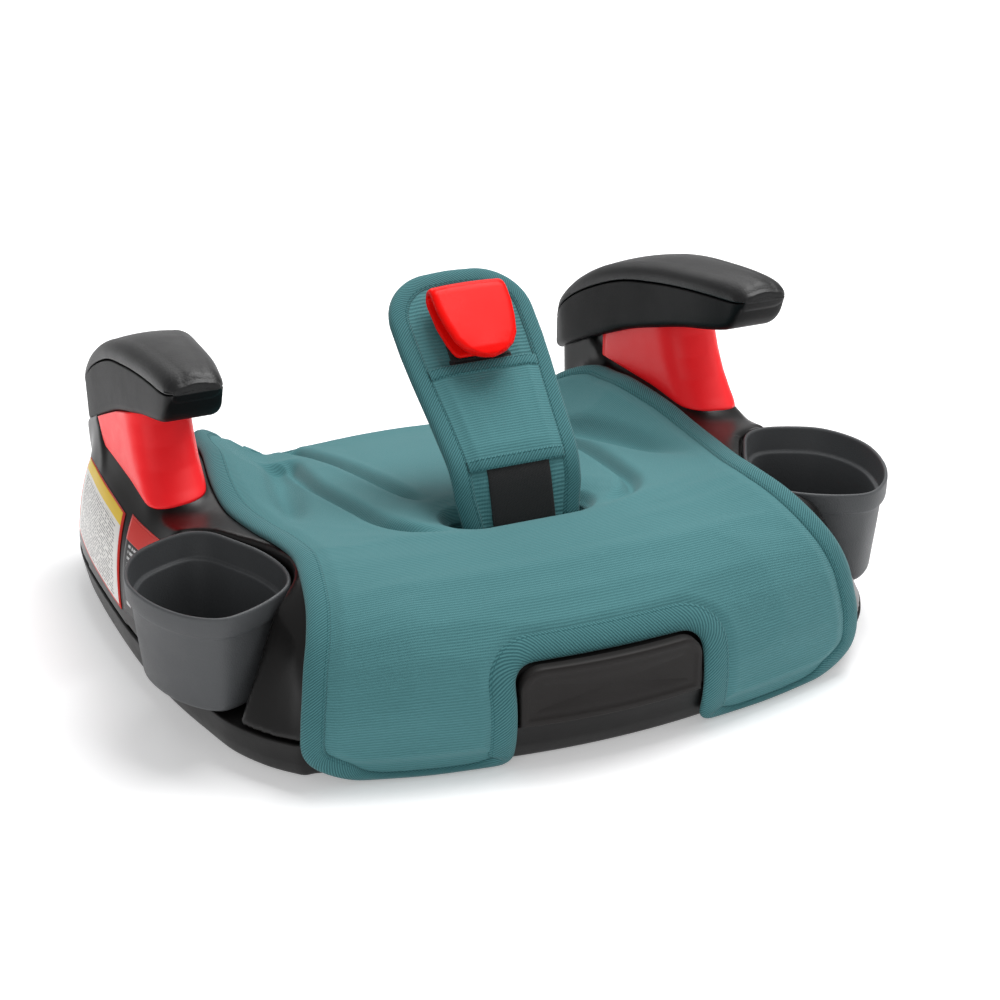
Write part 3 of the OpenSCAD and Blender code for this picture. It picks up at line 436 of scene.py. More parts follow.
class Mat:
    """A Principled material with short calls for its shader nodes."""

    def __init__(self, name, rough, spec=0.5, inputs=()):
        self.material = bpy.data.materials.new(name)
        self.material.use_nodes = True
        self.tree = self.material.node_tree
        self.bsdf = self.tree.nodes["Principled BSDF"]
        self.bsdf.inputs["Roughness"].default_value = rough
        self.bsdf.inputs["Specular IOR Level"].default_value = spec
        for key, value in dict(inputs).items():
            self.bsdf.inputs[key].default_value = value

    def node(self, kind, **settings):
        node = self.tree.nodes.new(kind)
        for key, value in settings.items():
            setattr(node, key, value)
        return node

    def put(self, socket, value):
        if isinstance(value, bpy.types.NodeSocket):
            self.tree.links.new(value, socket)
        else:
            socket.default_value = value

    def coord(self, kind):
        return self.node("ShaderNodeTexCoord").outputs[kind]

    def uv_xy(self):
        uv = self.coord("UV")
        split = self.node("ShaderNodeSeparateXYZ")
        self.put(split.inputs[0], uv)
        return uv, split.outputs[0], split.outputs[1]

    def calc(self, operation, a, b=0.0, c=None):
        node = self.node("ShaderNodeMath", operation=operation)
        self.put(node.inputs[0], a)
        self.put(node.inputs[1], b)
        if c is not None:
            self.put(node.inputs[2], c)
        return node.outputs[0]

    def add(self, a, b):
        return self.calc("ADD", a, b)

    def mul(self, a, b):
        return self.calc("MULTIPLY", a, b)

    def above(self, a, limit):
        return self.calc("GREATER_THAN", a, limit)

    def between(self, a, low, high):
        return self.mul(self.above(a, low), self.calc("LESS_THAN", a, high))

    def wave(self, value, pitch):
        """0..1 wave along a coordinate."""
        sine = self.calc("SINE", self.mul(value, 2 * math.pi / pitch))
        return self.calc("MULTIPLY_ADD", sine, 0.5, 0.5)

    def noise(self, vector, scale, detail=2.0, rough=0.5, dims="3D"):
        node = self.node("ShaderNodeTexNoise", noise_dimensions=dims)
        self.put(node.inputs["Vector"], vector)
        node.inputs["Scale"].default_value = scale
        node.inputs["Detail"].default_value = detail
        node.inputs["Roughness"].default_value = rough
        return node.outputs["Fac"]

    def mix(self, factor, a, b):
        node = self.node("ShaderNodeMix", data_type="RGBA")
        for index, value in ((0, factor), (6, a), (7, b)):
            self.put(node.inputs[index], value)
        return node.outputs[2]

    def remap(self, value, source, to):
        node = self.node("ShaderNodeMapRange")
        self.put(node.inputs[0], value)
        for i, limit in enumerate((*source, *to)):
            node.inputs[i + 1].default_value = limit
        return node.outputs[0]

    def bump(self, height, depth, strength=1.0):
        node = self.node("ShaderNodeBump")
        node.inputs["Strength"].default_value = strength
        node.inputs["Distance"].default_value = depth * MM
        self.put(node.inputs["Height"], height)
        return node.outputs[0]

    def done(self, color, rough=None, normal=None):
        self.put(self.bsdf.inputs["Base Color"], color)
        if rough is not None:
            self.put(self.bsdf.inputs["Roughness"], rough)
        if normal is not None:
            self.put(self.bsdf.inputs["Normal"], normal)
        return self.material


# TEAL_DARK is the painted shade colour of the rib troughs and, in part, of the thread; it also
# gives random darker patches
TEAL, TEAL_DARK = srgb(80, 132, 136), srgb(52, 99, 103)


def sheen(weight):
    return {"Sheen Weight": weight, "Sheen Roughness": 0.45}


def rib_fabric(name, pitch, depth):
    """Knit with fine ribs across; UV is in millimetres."""
    m = Mat(name, rough=0.86, spec=0.2, inputs=sheen(0.12))
    uv, x, y = m.uv_xy()
    wobbly = m.calc("MULTIPLY_ADD", m.noise(uv, scale=0.06, detail=3), 0.9, y)
    rib = m.wave(wobbly, pitch)
    # little stitches along each rib, shifted from rib to rib
    shift = m.mul(m.calc("FLOOR", m.calc("DIVIDE", wobbly, pitch)), pitch * 0.31)
    loop = m.wave(m.add(x, shift), pitch=0.9)
    fine = m.noise(uv, scale=2.2)
    height = m.add(m.mul(rib, 0.7), m.add(m.mul(loop, 0.2), m.mul(fine, 0.25)))
    patches = m.noise(uv, scale=0.012, detail=3)
    # painted shade: the troughs between the ribs are coloured towards TEAL_DARK, the crests stay
    # TEAL
    color = m.mix(m.remap(rib, (0, 1), to=(0.45, 1)), TEAL_DARK, TEAL)
    color = m.mix(m.remap(patches, (0.3, 0.7), to=(0, 0.16)), color, TEAL_DARK)
    # painted highlight: fine noise lightens small flecks towards a pale teal
    color = m.mix(m.remap(fine, (0.35, 0.75), to=(0, 0.2)), color, srgb(102, 152, 155))
    rough = m.remap(fine, (0.2, 0.8), to=(0.8, 0.95))
    return m.done(color, rough, m.bump(height, depth))


def twill(name):
    """Diagonal twill tape; UV is in millimetres, u along the tape."""
    m = Mat(name, rough=0.85, spec=0.2, inputs=sheen(0.12))
    uv, x, y = m.uv_xy()
    diagonal = m.add(m.mul(x, 0.72), m.mul(y, -0.70))
    wobbly = m.calc("MULTIPLY_ADD", m.noise(uv, scale=0.25), 0.5, diagonal)
    rib = m.wave(wobbly, pitch=1.35)
    yarn = m.wave(m.calc("SUBTRACT", x, y), pitch=0.62)
    fine = m.noise(uv, scale=2.5)
    height = m.add(m.mul(rib, 0.75), m.add(m.mul(yarn, 0.12), m.mul(fine, 0.2)))
    # painted shade: the twill troughs are coloured darker than the crests of the diagonal ribs
    color = m.mix(m.remap(rib, (0.05, 0.85), to=(0, 1)), srgb(45, 90, 94), srgb(74, 126, 130))
    # painted highlight: fine noise lightens small flecks towards a pale teal
    color = m.mix(m.remap(fine, (0.4, 0.8), to=(0, 0.18)), color, srgb(98, 148, 151))
    return m.done(color, normal=m.bump(height, depth=0.22))


def web_fabric(name):
    """Black webbing, every row of yarn shifted by half a pitch."""
    m = Mat(name, rough=0.6, spec=0.35, inputs=sheen(0.1))
    _, x, y = m.uv_xy()
    pitch = 0.9
    row = m.calc("FLOOR", m.calc("DIVIDE", y, pitch))
    along = m.wave(m.calc("MULTIPLY_ADD", row, pitch / 2, x), pitch)
    across = m.wave(y, pitch)
    height = m.add(m.mul(along, 0.6), m.mul(across, 0.5))
    # painted shade: the hollows of the weave are coloured darker and the raised yarn lighter
    color = m.mix(m.remap(height, (0.2, 1), to=(0, 1)), srgb(7, 7, 8), srgb(32, 32, 33))
    return m.done(color, normal=m.bump(height, depth=0.16))


def plastic(name, color, rough, grain=0.0, grain_scale=900, spec=0.5, vary=0.12, smear=1.0,
            inputs=()):
    """Moulded surface: vary darkens it in patches, smear spreads its roughness."""
    m = Mat(name, rough=rough, spec=spec, inputs=inputs)
    place = m.coord("Object")
    patches = m.noise(place, scale=14, detail=4, rough=0.6)
    smudge = m.noise(place, scale=45, detail=5, rough=0.65)
    darker = tuple(c * 0.7 for c in color[:3]) + (1,)
    mixed = m.mix(m.remap(patches, (0.35, 0.7), to=(0, vary)), color, darker)
    rough_range = max(0.03, rough - 0.05 * smear), rough + 0.08 * smear
    roughness = m.remap(smudge, (0.3, 0.75), to=rough_range)
    if grain:
        normal = m.bump(m.noise(place, scale=grain_scale, rough=0.6), grain)
    else:
        normal = m.bump(patches, depth=0.05, strength=0.5)
    return m.done(mixed, roughness, normal)


COVER_KNIT = rib_fabric("cover_knit", pitch=1.6, depth=0.24)
PAD_KNIT = rib_fabric("strap_knit", pitch=2.3, depth=0.4)
SLEEVE_KNIT = rib_fabric("sleeve_knit", pitch=1.6, depth=0.2)
TWILL = twill("twill_tape")
# the thread's dark teal is partly its own colour and partly painted shade along the stitch lines
THREAD = plastic("thread_dark_painted_shade", TEAL_DARK, rough=0.88, grain=0.05, spec=0.12)
WEB = web_fabric("webbing_black")
BODY = plastic("body_black", srgb(17, 16, 16), rough=0.31, grain=0.02, grain_scale=1400,
               spec=0.3, smear=0.35)
BASE = plastic("base_black", srgb(17, 16, 16), rough=0.42, grain=0.05, grain_scale=1300,
               spec=0.28)
ARM_BLACK = plastic("arm_black", srgb(14, 14, 15), rough=0.5, grain=0.12, grain_scale=1000,
                    spec=0.13, smear=0.5)
ARM_PAD = plastic("arm_pad", srgb(20, 20, 21), rough=0.46, grain=0.2, grain_scale=850,
                  spec=0.4, smear=0.5)
PANEL = plastic("panel_black", srgb(30, 27, 26), rough=0.6, grain=0.1, grain_scale=1200,
                spec=0.25, smear=0.3)
CHARCOAL = plastic("cup_charcoal", srgb(76, 78, 80), rough=0.5, grain=0.2, grain_scale=1200,
                   spec=0.4)
# painted light: the guide glows with a weak red emission that brightens it, though it is no lamp
RED = plastic("guide_red", srgb(255, 36, 42), rough=0.4, grain=0.07, grain_scale=1300,
              spec=0.28, vary=0.08,
              inputs={"Emission Color": (1, 0.012, 0.02, 1), "Emission Strength": 0.13})
CLIP_RED = plastic("clip_red", srgb(240, 16, 12), rough=0.28, spec=0.09, vary=0.05)
FOAM = plastic("foam_pale", srgb(205, 202, 190), rough=0.95, grain=0.6, grain_scale=420,
               spec=0.1)
STEEL = plastic("zinc_steel", srgb(170, 172, 176), rough=0.35, grain=0.03,
                inputs={"Metallic": 1.0})

# =====================================================================
# cushion surface; "run" is the distance along the cover from its rear edge
# =====================================================================
T_TABLE = np.linspace(0, LAST, 1441)
RUN_TABLE = arc_len(cover_at(T_TABLE, np.full(T_TABLE.shape, 0.55)))
RUN_END = RUN_TABLE[-1]


def t_of(run):
    return np.interp(run, RUN_TABLE, T_TABLE)


def run_of(t):
    return np.interp(t, T_TABLE, RUN_TABLE)


def half_width(t):
    return station(COVER, t)[..., 3]


def cut_run():
    """Run at which the front's middle line drops below the cut-out's top edge."""
    middle = cover_at(T_TABLE, np.zeros(T_TABLE.shape))
    return run_of(T_TABLE[np.where((middle[:, 2] < CUT_Z) & (T_TABLE > 12))[0][0]])


RUN_CUT = cut_run()


def cover_outline():
    """Edge of the cover as x and run, from the rear centre round by the right."""
    rear_r, front_r, hem_r = 18, 15.0, 5
    t = np.linspace(float(t_of(18.5)), LAST, 200)
    rear = np.vstack([
        pairs(np.linspace(-78, 78, 70), 0.0),
        arc(half_width(t_of(18.0)) - rear_r, rear_r, rear_r, -88, -4, 22),
        pairs(half_width(t), run_of(t))])
    rear = rear[~((rear[:, 1] > RUN_END - front_r) & (rear[:, 0] > 0))]
    angle = np.radians(np.linspace(0, 90, 20))
    corner_run = RUN_END - front_r + front_r * np.sin(angle)
    corner_x = (half_width(t_of(corner_run)) - 1.0 * np.sin(angle)
                - front_r + front_r * np.cos(angle))
    front_x = half_width(LAST) - 1.0
    path = np.vstack([
        rear,
        pairs(corner_x, corner_run),
        pairs(np.linspace(front_x - front_r - 1, CUT_HALF + 6, 50), RUN_END),
        arc(CUT_HALF + hem_r, RUN_END - hem_r, hem_r, 100, 180, 8),
        pairs(CUT_HALF, np.linspace(RUN_END - 6, RUN_CUT + CUT_RADIUS, 30)),
        arc(CUT_HALF - CUT_RADIUS, RUN_CUT + CUT_RADIUS, CUT_RADIUS, -4, -90, 18),
        pairs(np.linspace(CUT_HALF - CUT_RADIUS - 1, 0, 30), RUN_CUT)])
    right = path[path[:, 0] > 0.01]
    loop = np.vstack([[(0.0, 0.0)], right, [(0.0, RUN_CUT)], right[::-1] * [-1, 1]])
    return blur_loop(resample(loop, 1.5, closed=True), 1.6)


OUTLINE = cover_outline()
OUTLINE_IN = side_normals(OUTLINE, closed=True)


def edge_dist(x, run):
    """Distance to the cover's edge, positive inside."""
    return -loop_distance(x, run, OUTLINE)


def hole_dist(points):
    """Distance outside the strap hole, in plan."""
    dx = np.maximum(np.abs(points[..., 0]) - HOLE_STRAIGHT, 0)
    return np.hypot(dx, points[..., 1] - HOLE_Y) - HOLE_RADIUS


def snap_to_hole(points, mask, gap):
    """Draws the masked points onto a line that runs round the hole at a gap."""
    plan = points[..., :2]
    centre = pairs(np.clip(plan[..., 0], -HOLE_STRAIGHT, HOLE_STRAIGHT), HOLE_Y)
    moved = points.copy()
    ring = centre + unit(plan - centre) * (HOLE_RADIUS + gap)
    moved[..., :2] = np.where(mask[..., None], ring, plan)
    return moved


# Moulded grooves on the right half: plan points x, y; then depth and width
GROOVES = [(station(np.array(line, float), np.linspace(0, len(line) - 1, 40)), depth, width)
           for line, depth, width in (
    ([(82, 128), (88, 104), (94, 82), (102, 54), (110, 22), (117, -8), (124, -38)], 8.0, 13.5),
    ([(76, 130), (81, 94), (84, 60), (83, 26), (80, -10), (77, -38), (68, -58), (54, -68),
      (40, -74)], 8.4, 8.0),
    ([(62, 172), (55, 125), (50, 68), (47, 22), (44, -4), (39, -22)], 8.0, 8.0))]


def groove_depth(points):
    """Depth of the grooves and the distance to the nearest one."""
    shape = points.shape[:-1]
    depth, near = np.zeros(shape), np.full(shape, 99.0)
    plan = points[..., :2].reshape(-1, 2).copy()
    plan[:, 0] = np.abs(plan[:, 0])
    for line, deep, width in GROOVES:
        distance, u = to_segments(plan, line[:-1], line[1:])
        k = distance.argmin(1)
        along = ((k + u[np.arange(len(plan)), k]) / (len(line) - 1)).reshape(shape)
        distance = distance.min(1).reshape(shape)
        fade = smooth(along / 0.07) * smooth((1 - along) / 0.34)
        depth = np.maximum(depth, deep * fade * np.exp(-(distance / (width * 0.62)) ** 2))
        near = np.where(fade > 0.35, np.minimum(near, distance), near)
    return depth, near


def normals_at(t, across):
    step = 0.02
    along = (cover_at(np.clip(t + step, 0, LAST), across)
             - cover_at(np.clip(t - step, 0, LAST), across))
    return unit(np.cross(along, cover_at(t, across + step) - cover_at(t, across - step)))


def cloth_offset(points, edge):
    """How far the cloth lies off the plain surface; also hole and groove distances."""
    hole = hole_dist(points)
    groove, near = groove_depth(points)
    dip = 4.5 * (1 - smooth((hole + 1) / 26)) + 7.5 * (1 - smooth((hole + 1.5) / 9))
    offset = -2.3 + 2.3 * smooth((edge - 9) / 9) + 0.9 * smooth((edge - 18) / 50)
    offset = offset - np.where(points[..., 2] > 40, dip, 0)
    return offset - groove, hole, near


def puff_cloth(points, pinned, pressure, frames, limit, keep=None, bending=0.4):
    """Movement of a grid of cloth points under pressure, at most `limit` long."""
    if keep is None:
        keep = np.ones(points.shape[:2], bool)
    used, faces = kept_part(keep)
    obj = make("cloth_tmp", points.reshape(-1, 3)[used], faces, COVER_KNIT)
    group = obj.vertex_groups.new(name="pin")
    group.add([int(i) for i in np.where(pinned.ravel()[used])[0]], 1.0, "REPLACE")
    cloth = obj.modifiers.new("Cloth", "CLOTH")
    stiffness = 18
    settings = dict(
        quality=5, mass=0.3, tension_stiffness=stiffness, compression_stiffness=stiffness,
        shear_stiffness=6, bending_stiffness=bending, air_damping=2, use_pressure=True,
        uniform_pressure_force=pressure, vertex_group_mass="pin")
    for key, value in settings.items():
        setattr(cloth.settings, key, value)
    cloth.settings.effector_weights.gravity = 0
    cloth.collision_settings.use_collision = False
    cloth.collision_settings.use_self_collision = False
    cloth.point_cache.frame_start = 1
    cloth.point_cache.frame_end = frames
    scene = bpy.context.scene
    for number in range(1, frames + 1):
        scene.frame_set(number)
    settled = np.zeros(used.sum() * 3, np.float32)
    evaluated(obj).data.vertices.foreach_get("co", settled)
    result = points.reshape(-1, 3).copy()
    result[used] = settled.reshape(-1, 3) / MM
    scene.frame_set(1)
    mesh = obj.data
    bpy.data.objects.remove(obj)
    bpy.data.meshes.remove(mesh)
    move = result.reshape(points.shape) - points
    move[~np.isfinite(move)] = 0
    length = np.linalg.norm(move, axis=-1, keepdims=True)
    return move * np.minimum(1, limit / np.maximum(length, 1e-9))


def cover_grid(rows, cols):
    """t, across, plain points and edge distance over the whole cover."""
    t, across = np.meshgrid(np.linspace(0, LAST, rows), np.linspace(-1, 1, cols), indexing="ij")
    points = cover_at(t, across)
    return t, across, points, edge_dist(points[..., 0], run_of(t))


def cover_puff():
    """Coarse cloth run that the fine surface follows, scaled to an even fullness."""
    t, across, plain, edge = cover_grid(137, 97)
    offset, hole, near = cloth_offset(plain, edge)
    points = plain + normals_at(t, across) * offset[..., None]
    top = plain[..., 2] > 40
    pins = (edge < 9.5) | ((hole < 7) & top) | (near < 2.2)
    move = puff_cloth(points, pins, pressure=4.0, frames=20, limit=9.0,
                      keep=(edge > -3) & ~((hole < -4) & top))
    high = np.percentile(np.linalg.norm(move, axis=-1)[edge > 25], 90)
    if high > 0.05:
        move *= min(2.4 / high, 3.0)
    return move


PUFF = cover_puff()


def puff_at(t, across):
    rows, cols = PUFF.shape[:2]
    y = np.clip(t / LAST * (rows - 1), 0, rows - 1.0001)
    x = np.clip((across + 1) / 2 * (cols - 1), 0, cols - 1.0001)
    i, j = y.astype(int), x.astype(int)
    v, u = (y - i)[..., None], (x - j)[..., None]
    return (PUFF[i, j] * (1 - v) * (1 - u) + PUFF[i, j + 1] * (1 - v) * u
            + PUFF[i + 1, j] * v * (1 - u) + PUFF[i + 1, j + 1] * v * u)


def cushion_point(plan, edge):
    """Finished surface and normal at (x, run), taken at a given edge distance."""
    t = t_of(np.clip(plan[:, 1], 0, RUN_END))
    across = np.clip(plan[:, 0] / half_width(t), -1.03, 1.03)
    points = cover_at(t, across)
    offset = cloth_offset(points, np.full(len(plan), edge))[0]
    normals = normals_at(t, across)
    return points + normals * offset[..., None] + puff_at(t, np.clip(across, -1, 1)), normals


def cushion_cover():
    """The knit cover; also its plain and finished grids of points."""
    t, across, plain, edge = cover_grid(*(((331, 245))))
    offset, hole, _ = cloth_offset(plain, edge)
    top = plain[..., 2] > 40
    # points beside the hole are drawn onto its outline so its rim is smooth
    points = snap_to_hole(plain, top & (np.abs(hole) < 1.1), gap=0)
    points = points + normals_at(t, across) * offset[..., None] + puff_at(t, across)
    used, faces = kept_part((edge > 1.2) & ~(top & (hole < -1.1)))
    uv = np.stack([plain[..., 0], run_of(t)], -1)
    obj = make("cushion_cover", points.reshape(-1, 3)[used], faces, COVER_KNIT,
               uv=uv.reshape(-1, 2)[used])
    thicken(obj, 3.0)
    return obj, plain, points


cushion, PLAIN, FINISHED = cushion_cover()

# ---------- binding tape round the cover ----------
# Section of the tape: distance in from the cover's edge, height off the cloth
TAPE_IN = np.array([7, 4, 1.2, -0.9, -2.0, -2.3, -1.9, -0.7, 1.2, 3.5, 6.5, 9.2, 10.4, 10.7])
TAPE_UP = np.array([-3.9, -4.0, -3.9, -3.3, -2.3, -1.2, -0.1, 0.9, 1.6, 1.95, 1.7, 1.15, 0.5,
                    -1.0])


def tape_scale():
    """The tape is wider round the front cut-out and narrow along the front hem."""
    x, run = np.abs(OUTLINE[:, 0]), OUTLINE[:, 1]
    wide = smooth((run - (RUN_CUT - 18)) / 14) * (x < CUT_HALF + 9)
    hem = (smooth((run - (RUN_END - 9)) / 6) * (x > CUT_HALF + 7)
           * (1 - smooth((x - 134) / 12)))
    return blur_loop(((1 + 0.28 * wide) * (1 - 0.72 * hem))[:, None], 5)[:, 0]


TAPE_SCALE = tape_scale()


def edge_rows(inward, heights):
    """A row of points along the outline for each distance in and height."""
    edge, edge_normals = cushion_point(OUTLINE, 0.0)
    inner, _ = cushion_point(OUTLINE + OUTLINE_IN * 8, 8.0)
    # plan steps are corrected to true distance on the curved surface
    ratio = 8 / np.maximum(np.linalg.norm(inner - edge, axis=1), 1)
    ratio = np.clip(ratio, 0.5, 1.6)
    rows = []
    for a, height in zip(inward, heights):
        if a >= 0:
            plan = OUTLINE + OUTLINE_IN * (a * ratio * TAPE_SCALE)[:, None]
            points, normals = cushion_point(plan, min(a, 9.0))
        else:
            near, _ = cushion_point(OUTLINE + OUTLINE_IN * (2 * ratio)[:, None], 2.0)
            points, normals = edge + unit(edge - near) * (-a), edge_normals
        rows.append(points + normals * height)
    return np.array(rows)


def tape_uv(along, inward, heights):
    """UV of a tape whose last row of points closes the section."""
    across = np.cumsum(np.hypot(np.diff(inward), np.diff(heights)))
    return np.stack(np.meshgrid(along, np.concatenate([[0], across, [30]])), -1)


def cover_edge_tape():
    """The texture's seam lies at the rear centre, where the ends meet."""
    rows = edge_rows(TAPE_IN, TAPE_UP)
    rows = np.concatenate([rows, rows[:, :1]], 1)
    rows = np.concatenate([rows, rows[:1]], 0)
    along = arc_len(OUTLINE)
    uv = tape_uv(np.append(along, along[-1] + 1.5), TAPE_IN, TAPE_UP)
    return make_welded("cover_edge_tape", rows, grid_faces(*rows.shape[:2]), TWILL, uv)


cover_tape = cover_edge_tape()


def edge_stitches(name, inward, height, select):
    line, beside = edge_rows([inward, inward + 1.0], [height, height])
    tangent = np.roll(line, -1, 0) - np.roll(line, 1, 0)
    normals = unit(np.cross(tangent, beside - line))
    t = t_of(OUTLINE[:, 1])
    surface = normals_at(t, np.clip(OUTLINE[:, 0] / half_width(t), -1, 1))
    normals *= np.sign((normals * surface).sum(1))[:, None]
    chosen = np.where(select)[0]
    runs = np.split(chosen, np.where(np.diff(chosen) != 1)[0] + 1)
    lines = [(line[run], normals[run]) for run in runs if len(run) >= 3]
    return stitches(name, lines, 2.9, THREAD)


_x, _run = np.abs(OUTLINE[:, 0]), OUTLINE[:, 1]
edge_stitching = edge_stitches("cover_edge_stitching", 8.7, 1.2,
                               ~((_run > RUN_END - 7) & (_x < 146)))
cutout_stitching = edge_stitches("cutout_second_stitching", 6.3, 1.24,
                                 (_x < CUT_HALF + 2) & (_run > RUN_CUT - 4))

# Section of the hole's lining: distance into the hole, height off the rim
LINING = [(-2.2, 0.15), (-0.8, 0.1), (0.1, -0.7), (0.7, -2.2), (1.2, -5.0), (1.8, -9.0),
          (2.4, -14.0), (2.8, -19.0), (0.6, -19.4), (0.0, -14.0), (-0.6, -9.0), (-1.2, -5.0),
          (-2.2, -2.4), (-3.2, -1.7)]


def hole_lining():
    """The cover turned down into the strap hole."""
    angle = np.linspace(0, 2 * np.pi, 96, endpoint=False)
    centre = pairs(np.where(np.cos(angle) >= 0, HOLE_STRAIGHT, -HOLE_STRAIGHT), HOLE_Y)
    loop = centre + pairs(np.cos(angle), np.sin(angle)) * HOLE_RADIUS
    loop = resample(np.vstack([loop, loop[:1]]), 1.6)[:-1]
    inward = side_normals(loop, closed=True)
    # height of the finished cover at each point; the low front face is left out
    low = np.where(PLAIN[..., 2] > 60, 0, 1e6)
    nearest = [np.argmin((FINISHED[..., 0] - x) ** 2 + (FINISHED[..., 1] - y) ** 2 + low)
               for x, y in loop]
    z = blur_loop(FINISHED.reshape(-1, 3)[nearest][:, 2:3], 2.0)[:, 0]
    rings = np.array([np.column_stack([loop + inward * a, z + dz])
                      for a, dz in LINING + LINING[:1]])
    uv = np.stack(np.meshgrid(arc_len(loop), np.arange(len(rings)) * 2.5), -1)
    faces = grid_faces(len(rings), len(loop), wrap=True)
    return make_welded("strap_hole_lining", rings, faces, COVER_KNIT, uv)


lining = hole_lining()

# =====================================================================
# strap; s runs up along it, h is height off its front face
# =====================================================================
STRAP_Y, STRAP_Z = -60, 90  # where s = 0
LEAN_LOW, LEAN_HIGH = 16, 52.0  # degrees from upright, below and above the bend
S_STEP = 0.25
S_TABLE = np.arange(0, 220.01, S_STEP)


def lean(s):
    return LEAN_LOW + (LEAN_HIGH - LEAN_LOW) * smooth((np.asarray(s, float) - 14) / 30)


_lean = np.radians(lean(S_TABLE[:-1] + S_STEP / 2))
S_Y = STRAP_Y + np.concatenate([[0], np.cumsum(S_STEP * np.sin(_lean))])
S_Z = STRAP_Z + np.concatenate([[0], np.cumsum(S_STEP * np.cos(_lean))])


def strap_at(x, s, h):
    x, s, h = (np.asarray(value, float) for value in np.broadcast_arrays(x, s, h))
    angle, low = np.radians(lean(s)), math.radians(LEAN_LOW)
    y = np.where(s >= 0, np.interp(s, S_TABLE, S_Y), STRAP_Y + s * math.sin(low))
    z = np.where(s >= 0, np.interp(s, S_TABLE, S_Z), STRAP_Z + s * math.cos(low))
    return np.stack([x, y - h * np.cos(angle), z + h * np.sin(angle)], -1)


PAD_BOTTOM = -7.0
# Pad's rounded top: s where the corners start, corner radius, half width
TOP_S, TOP_RADIUS, TOP_HALF = 126.0, 31.0, 43.5
# Half width of the pad: s, half width
PAD_WIDTH = np.array([(-7, 34.5), (4.8, 36.5), (12, 38), (28, 38.6), (60, 40.4), (90, 42.6),
                      (108, 43.5), (126, 43.5)])


def pad_half(s, inset=0):
    """Half width of the pad's outline drawn in by an inset."""
    radius = TOP_RADIUS - inset
    s = np.minimum(s, TOP_S + radius - 0.01) if inset else np.asarray(s, float)
    root = np.sqrt(np.maximum(radius ** 2 - np.maximum(s - TOP_S, 0) ** 2, 0))
    return np.where(s > TOP_S, TOP_HALF - TOP_RADIUS + root,
                    np.interp(s, *PAD_WIDTH.T) - inset)


def pad_outline():
    """Open path of x, s: up the right side, over the top and down the left."""
    s = np.arange(PAD_BOTTOM, TOP_S, 1.5)
    flat, top = TOP_HALF - TOP_RADIUS, TOP_S + TOP_RADIUS
    x = np.array([10, 7, 4])
    right = np.vstack([pairs(pad_half(s), s), arc(flat, TOP_S, TOP_RADIUS, 0, 90, 31),
                       pairs(x, top + 0.6 * (1 - (x / flat) ** 2)), [(0, top + 0.7)]])
    return resample(np.vstack([right, (right * [-1, 1])[::-1][1:]]), 1.3)


PAD_LINE = pad_outline()
PAD_IN = side_normals(PAD_LINE)
# Section of the pad's tape: distance in from the outline, height
PAD_TAPE_IN = np.array([10.9, 10.6, 9.0, 6.0, 3.0, 1.0, -0.2, -0.7, -0.2, 1.0, 3.0, 6.0, 9.0,
                        10.6, 10.9])
PAD_TAPE_UP = np.array([-0.9, 0.2, 0.85, 1.05, 0.85, 0.1, -1.3, -3.0, -4.9, -6.3, -7.1, -7.4,
                        -7.3, -6.8, -5.8])


def strap_edge_tape():
    rows = [strap_at(*(PAD_LINE + PAD_IN * a).T, h) for a, h in zip(PAD_TAPE_IN, PAD_TAPE_UP)]
    uv = tape_uv(arc_len(PAD_LINE), PAD_TAPE_IN, PAD_TAPE_UP)
    return closed_strip("strap_edge_tape", np.array(rows + rows[:1]), uv, TWILL)


strap_tape = strap_edge_tape()


def pad_face(height, side):
    """Front (side 1) or back (side -1) of the pad, and its UV."""
    rows, cols = ((120, 60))
    inset, bulge = 8.5, 1.4
    radius = TOP_RADIUS - inset
    s = np.concatenate([np.linspace(PAD_BOTTOM, TOP_S, rows - 30),
                        TOP_S + radius * np.sin(np.radians(np.linspace(4, 90, 30)))])
    s, across = np.meshgrid(s, np.linspace(-1, 1, cols), indexing="ij")
    half = pad_half(s, inset)
    x = half * across
    edge = np.minimum(half - np.abs(x), TOP_S + TOP_RADIUS - inset - s)
    points = strap_at(x, s, height + side * bulge * smooth(edge / 10))
    # the front grid is reversed so that pressure acts outward
    move = puff_cloth(points[:, ::-side], (edge < 2)[:, ::-side], pressure=5.0, frames=14,
                      limit=1.6, bending=0.3)
    points = points + move[:, ::-side] * 0.8
    return points, np.stack([x, s], -1)


def strap_pad_cushion():
    front, uv = pad_face(0.1, 1)
    back, _ = pad_face(-7.0, -1)
    return slab("strap_pad_cushion", front, back, PAD_KNIT, uv=uv)


strap_pad = strap_pad_cushion()

SLEEVE_LOW, SLEEVE_HIGH, SLEEVE_INSET = 27.5, 93.0, 9.6


def sleeve_height(x, s):
    edge = pad_half(s, SLEEVE_INSET) - np.abs(x)
    middle = smooth((s - SLEEVE_LOW) / 14) * smooth((SLEEVE_HIGH - s) / 14)
    return 0.9 + 2.1 * smooth(edge / 8) + 0.9 * middle * smooth(edge / 20)


def sleeve():
    rows, cols = ((90, 60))
    s, across = np.meshgrid(np.linspace(SLEEVE_LOW, SLEEVE_HIGH, rows),
                            np.linspace(-1, 1, cols), indexing="ij")
    half = pad_half(s, SLEEVE_INSET)
    x = half * across
    height = sleeve_height(x, s)
    points = strap_at(x, s, height)
    ends = np.minimum(s - SLEEVE_LOW - 5, SLEEVE_HIGH - 6 - s)
    edge = np.minimum(half - np.abs(x), ends)
    move = puff_cloth(points[:, ::-1], (edge < 1.5)[:, ::-1], pressure=4.0, frames=14,
                      limit=1.2, bending=0.3)[:, ::-1]
    points = points + move * 0.8
    return slab("strap_sleeve_panel", points, strap_at(x, s, height - 1.0), SLEEVE_KNIT,
                uv=np.stack([x, s], -1))


sleeve_panel = sleeve()


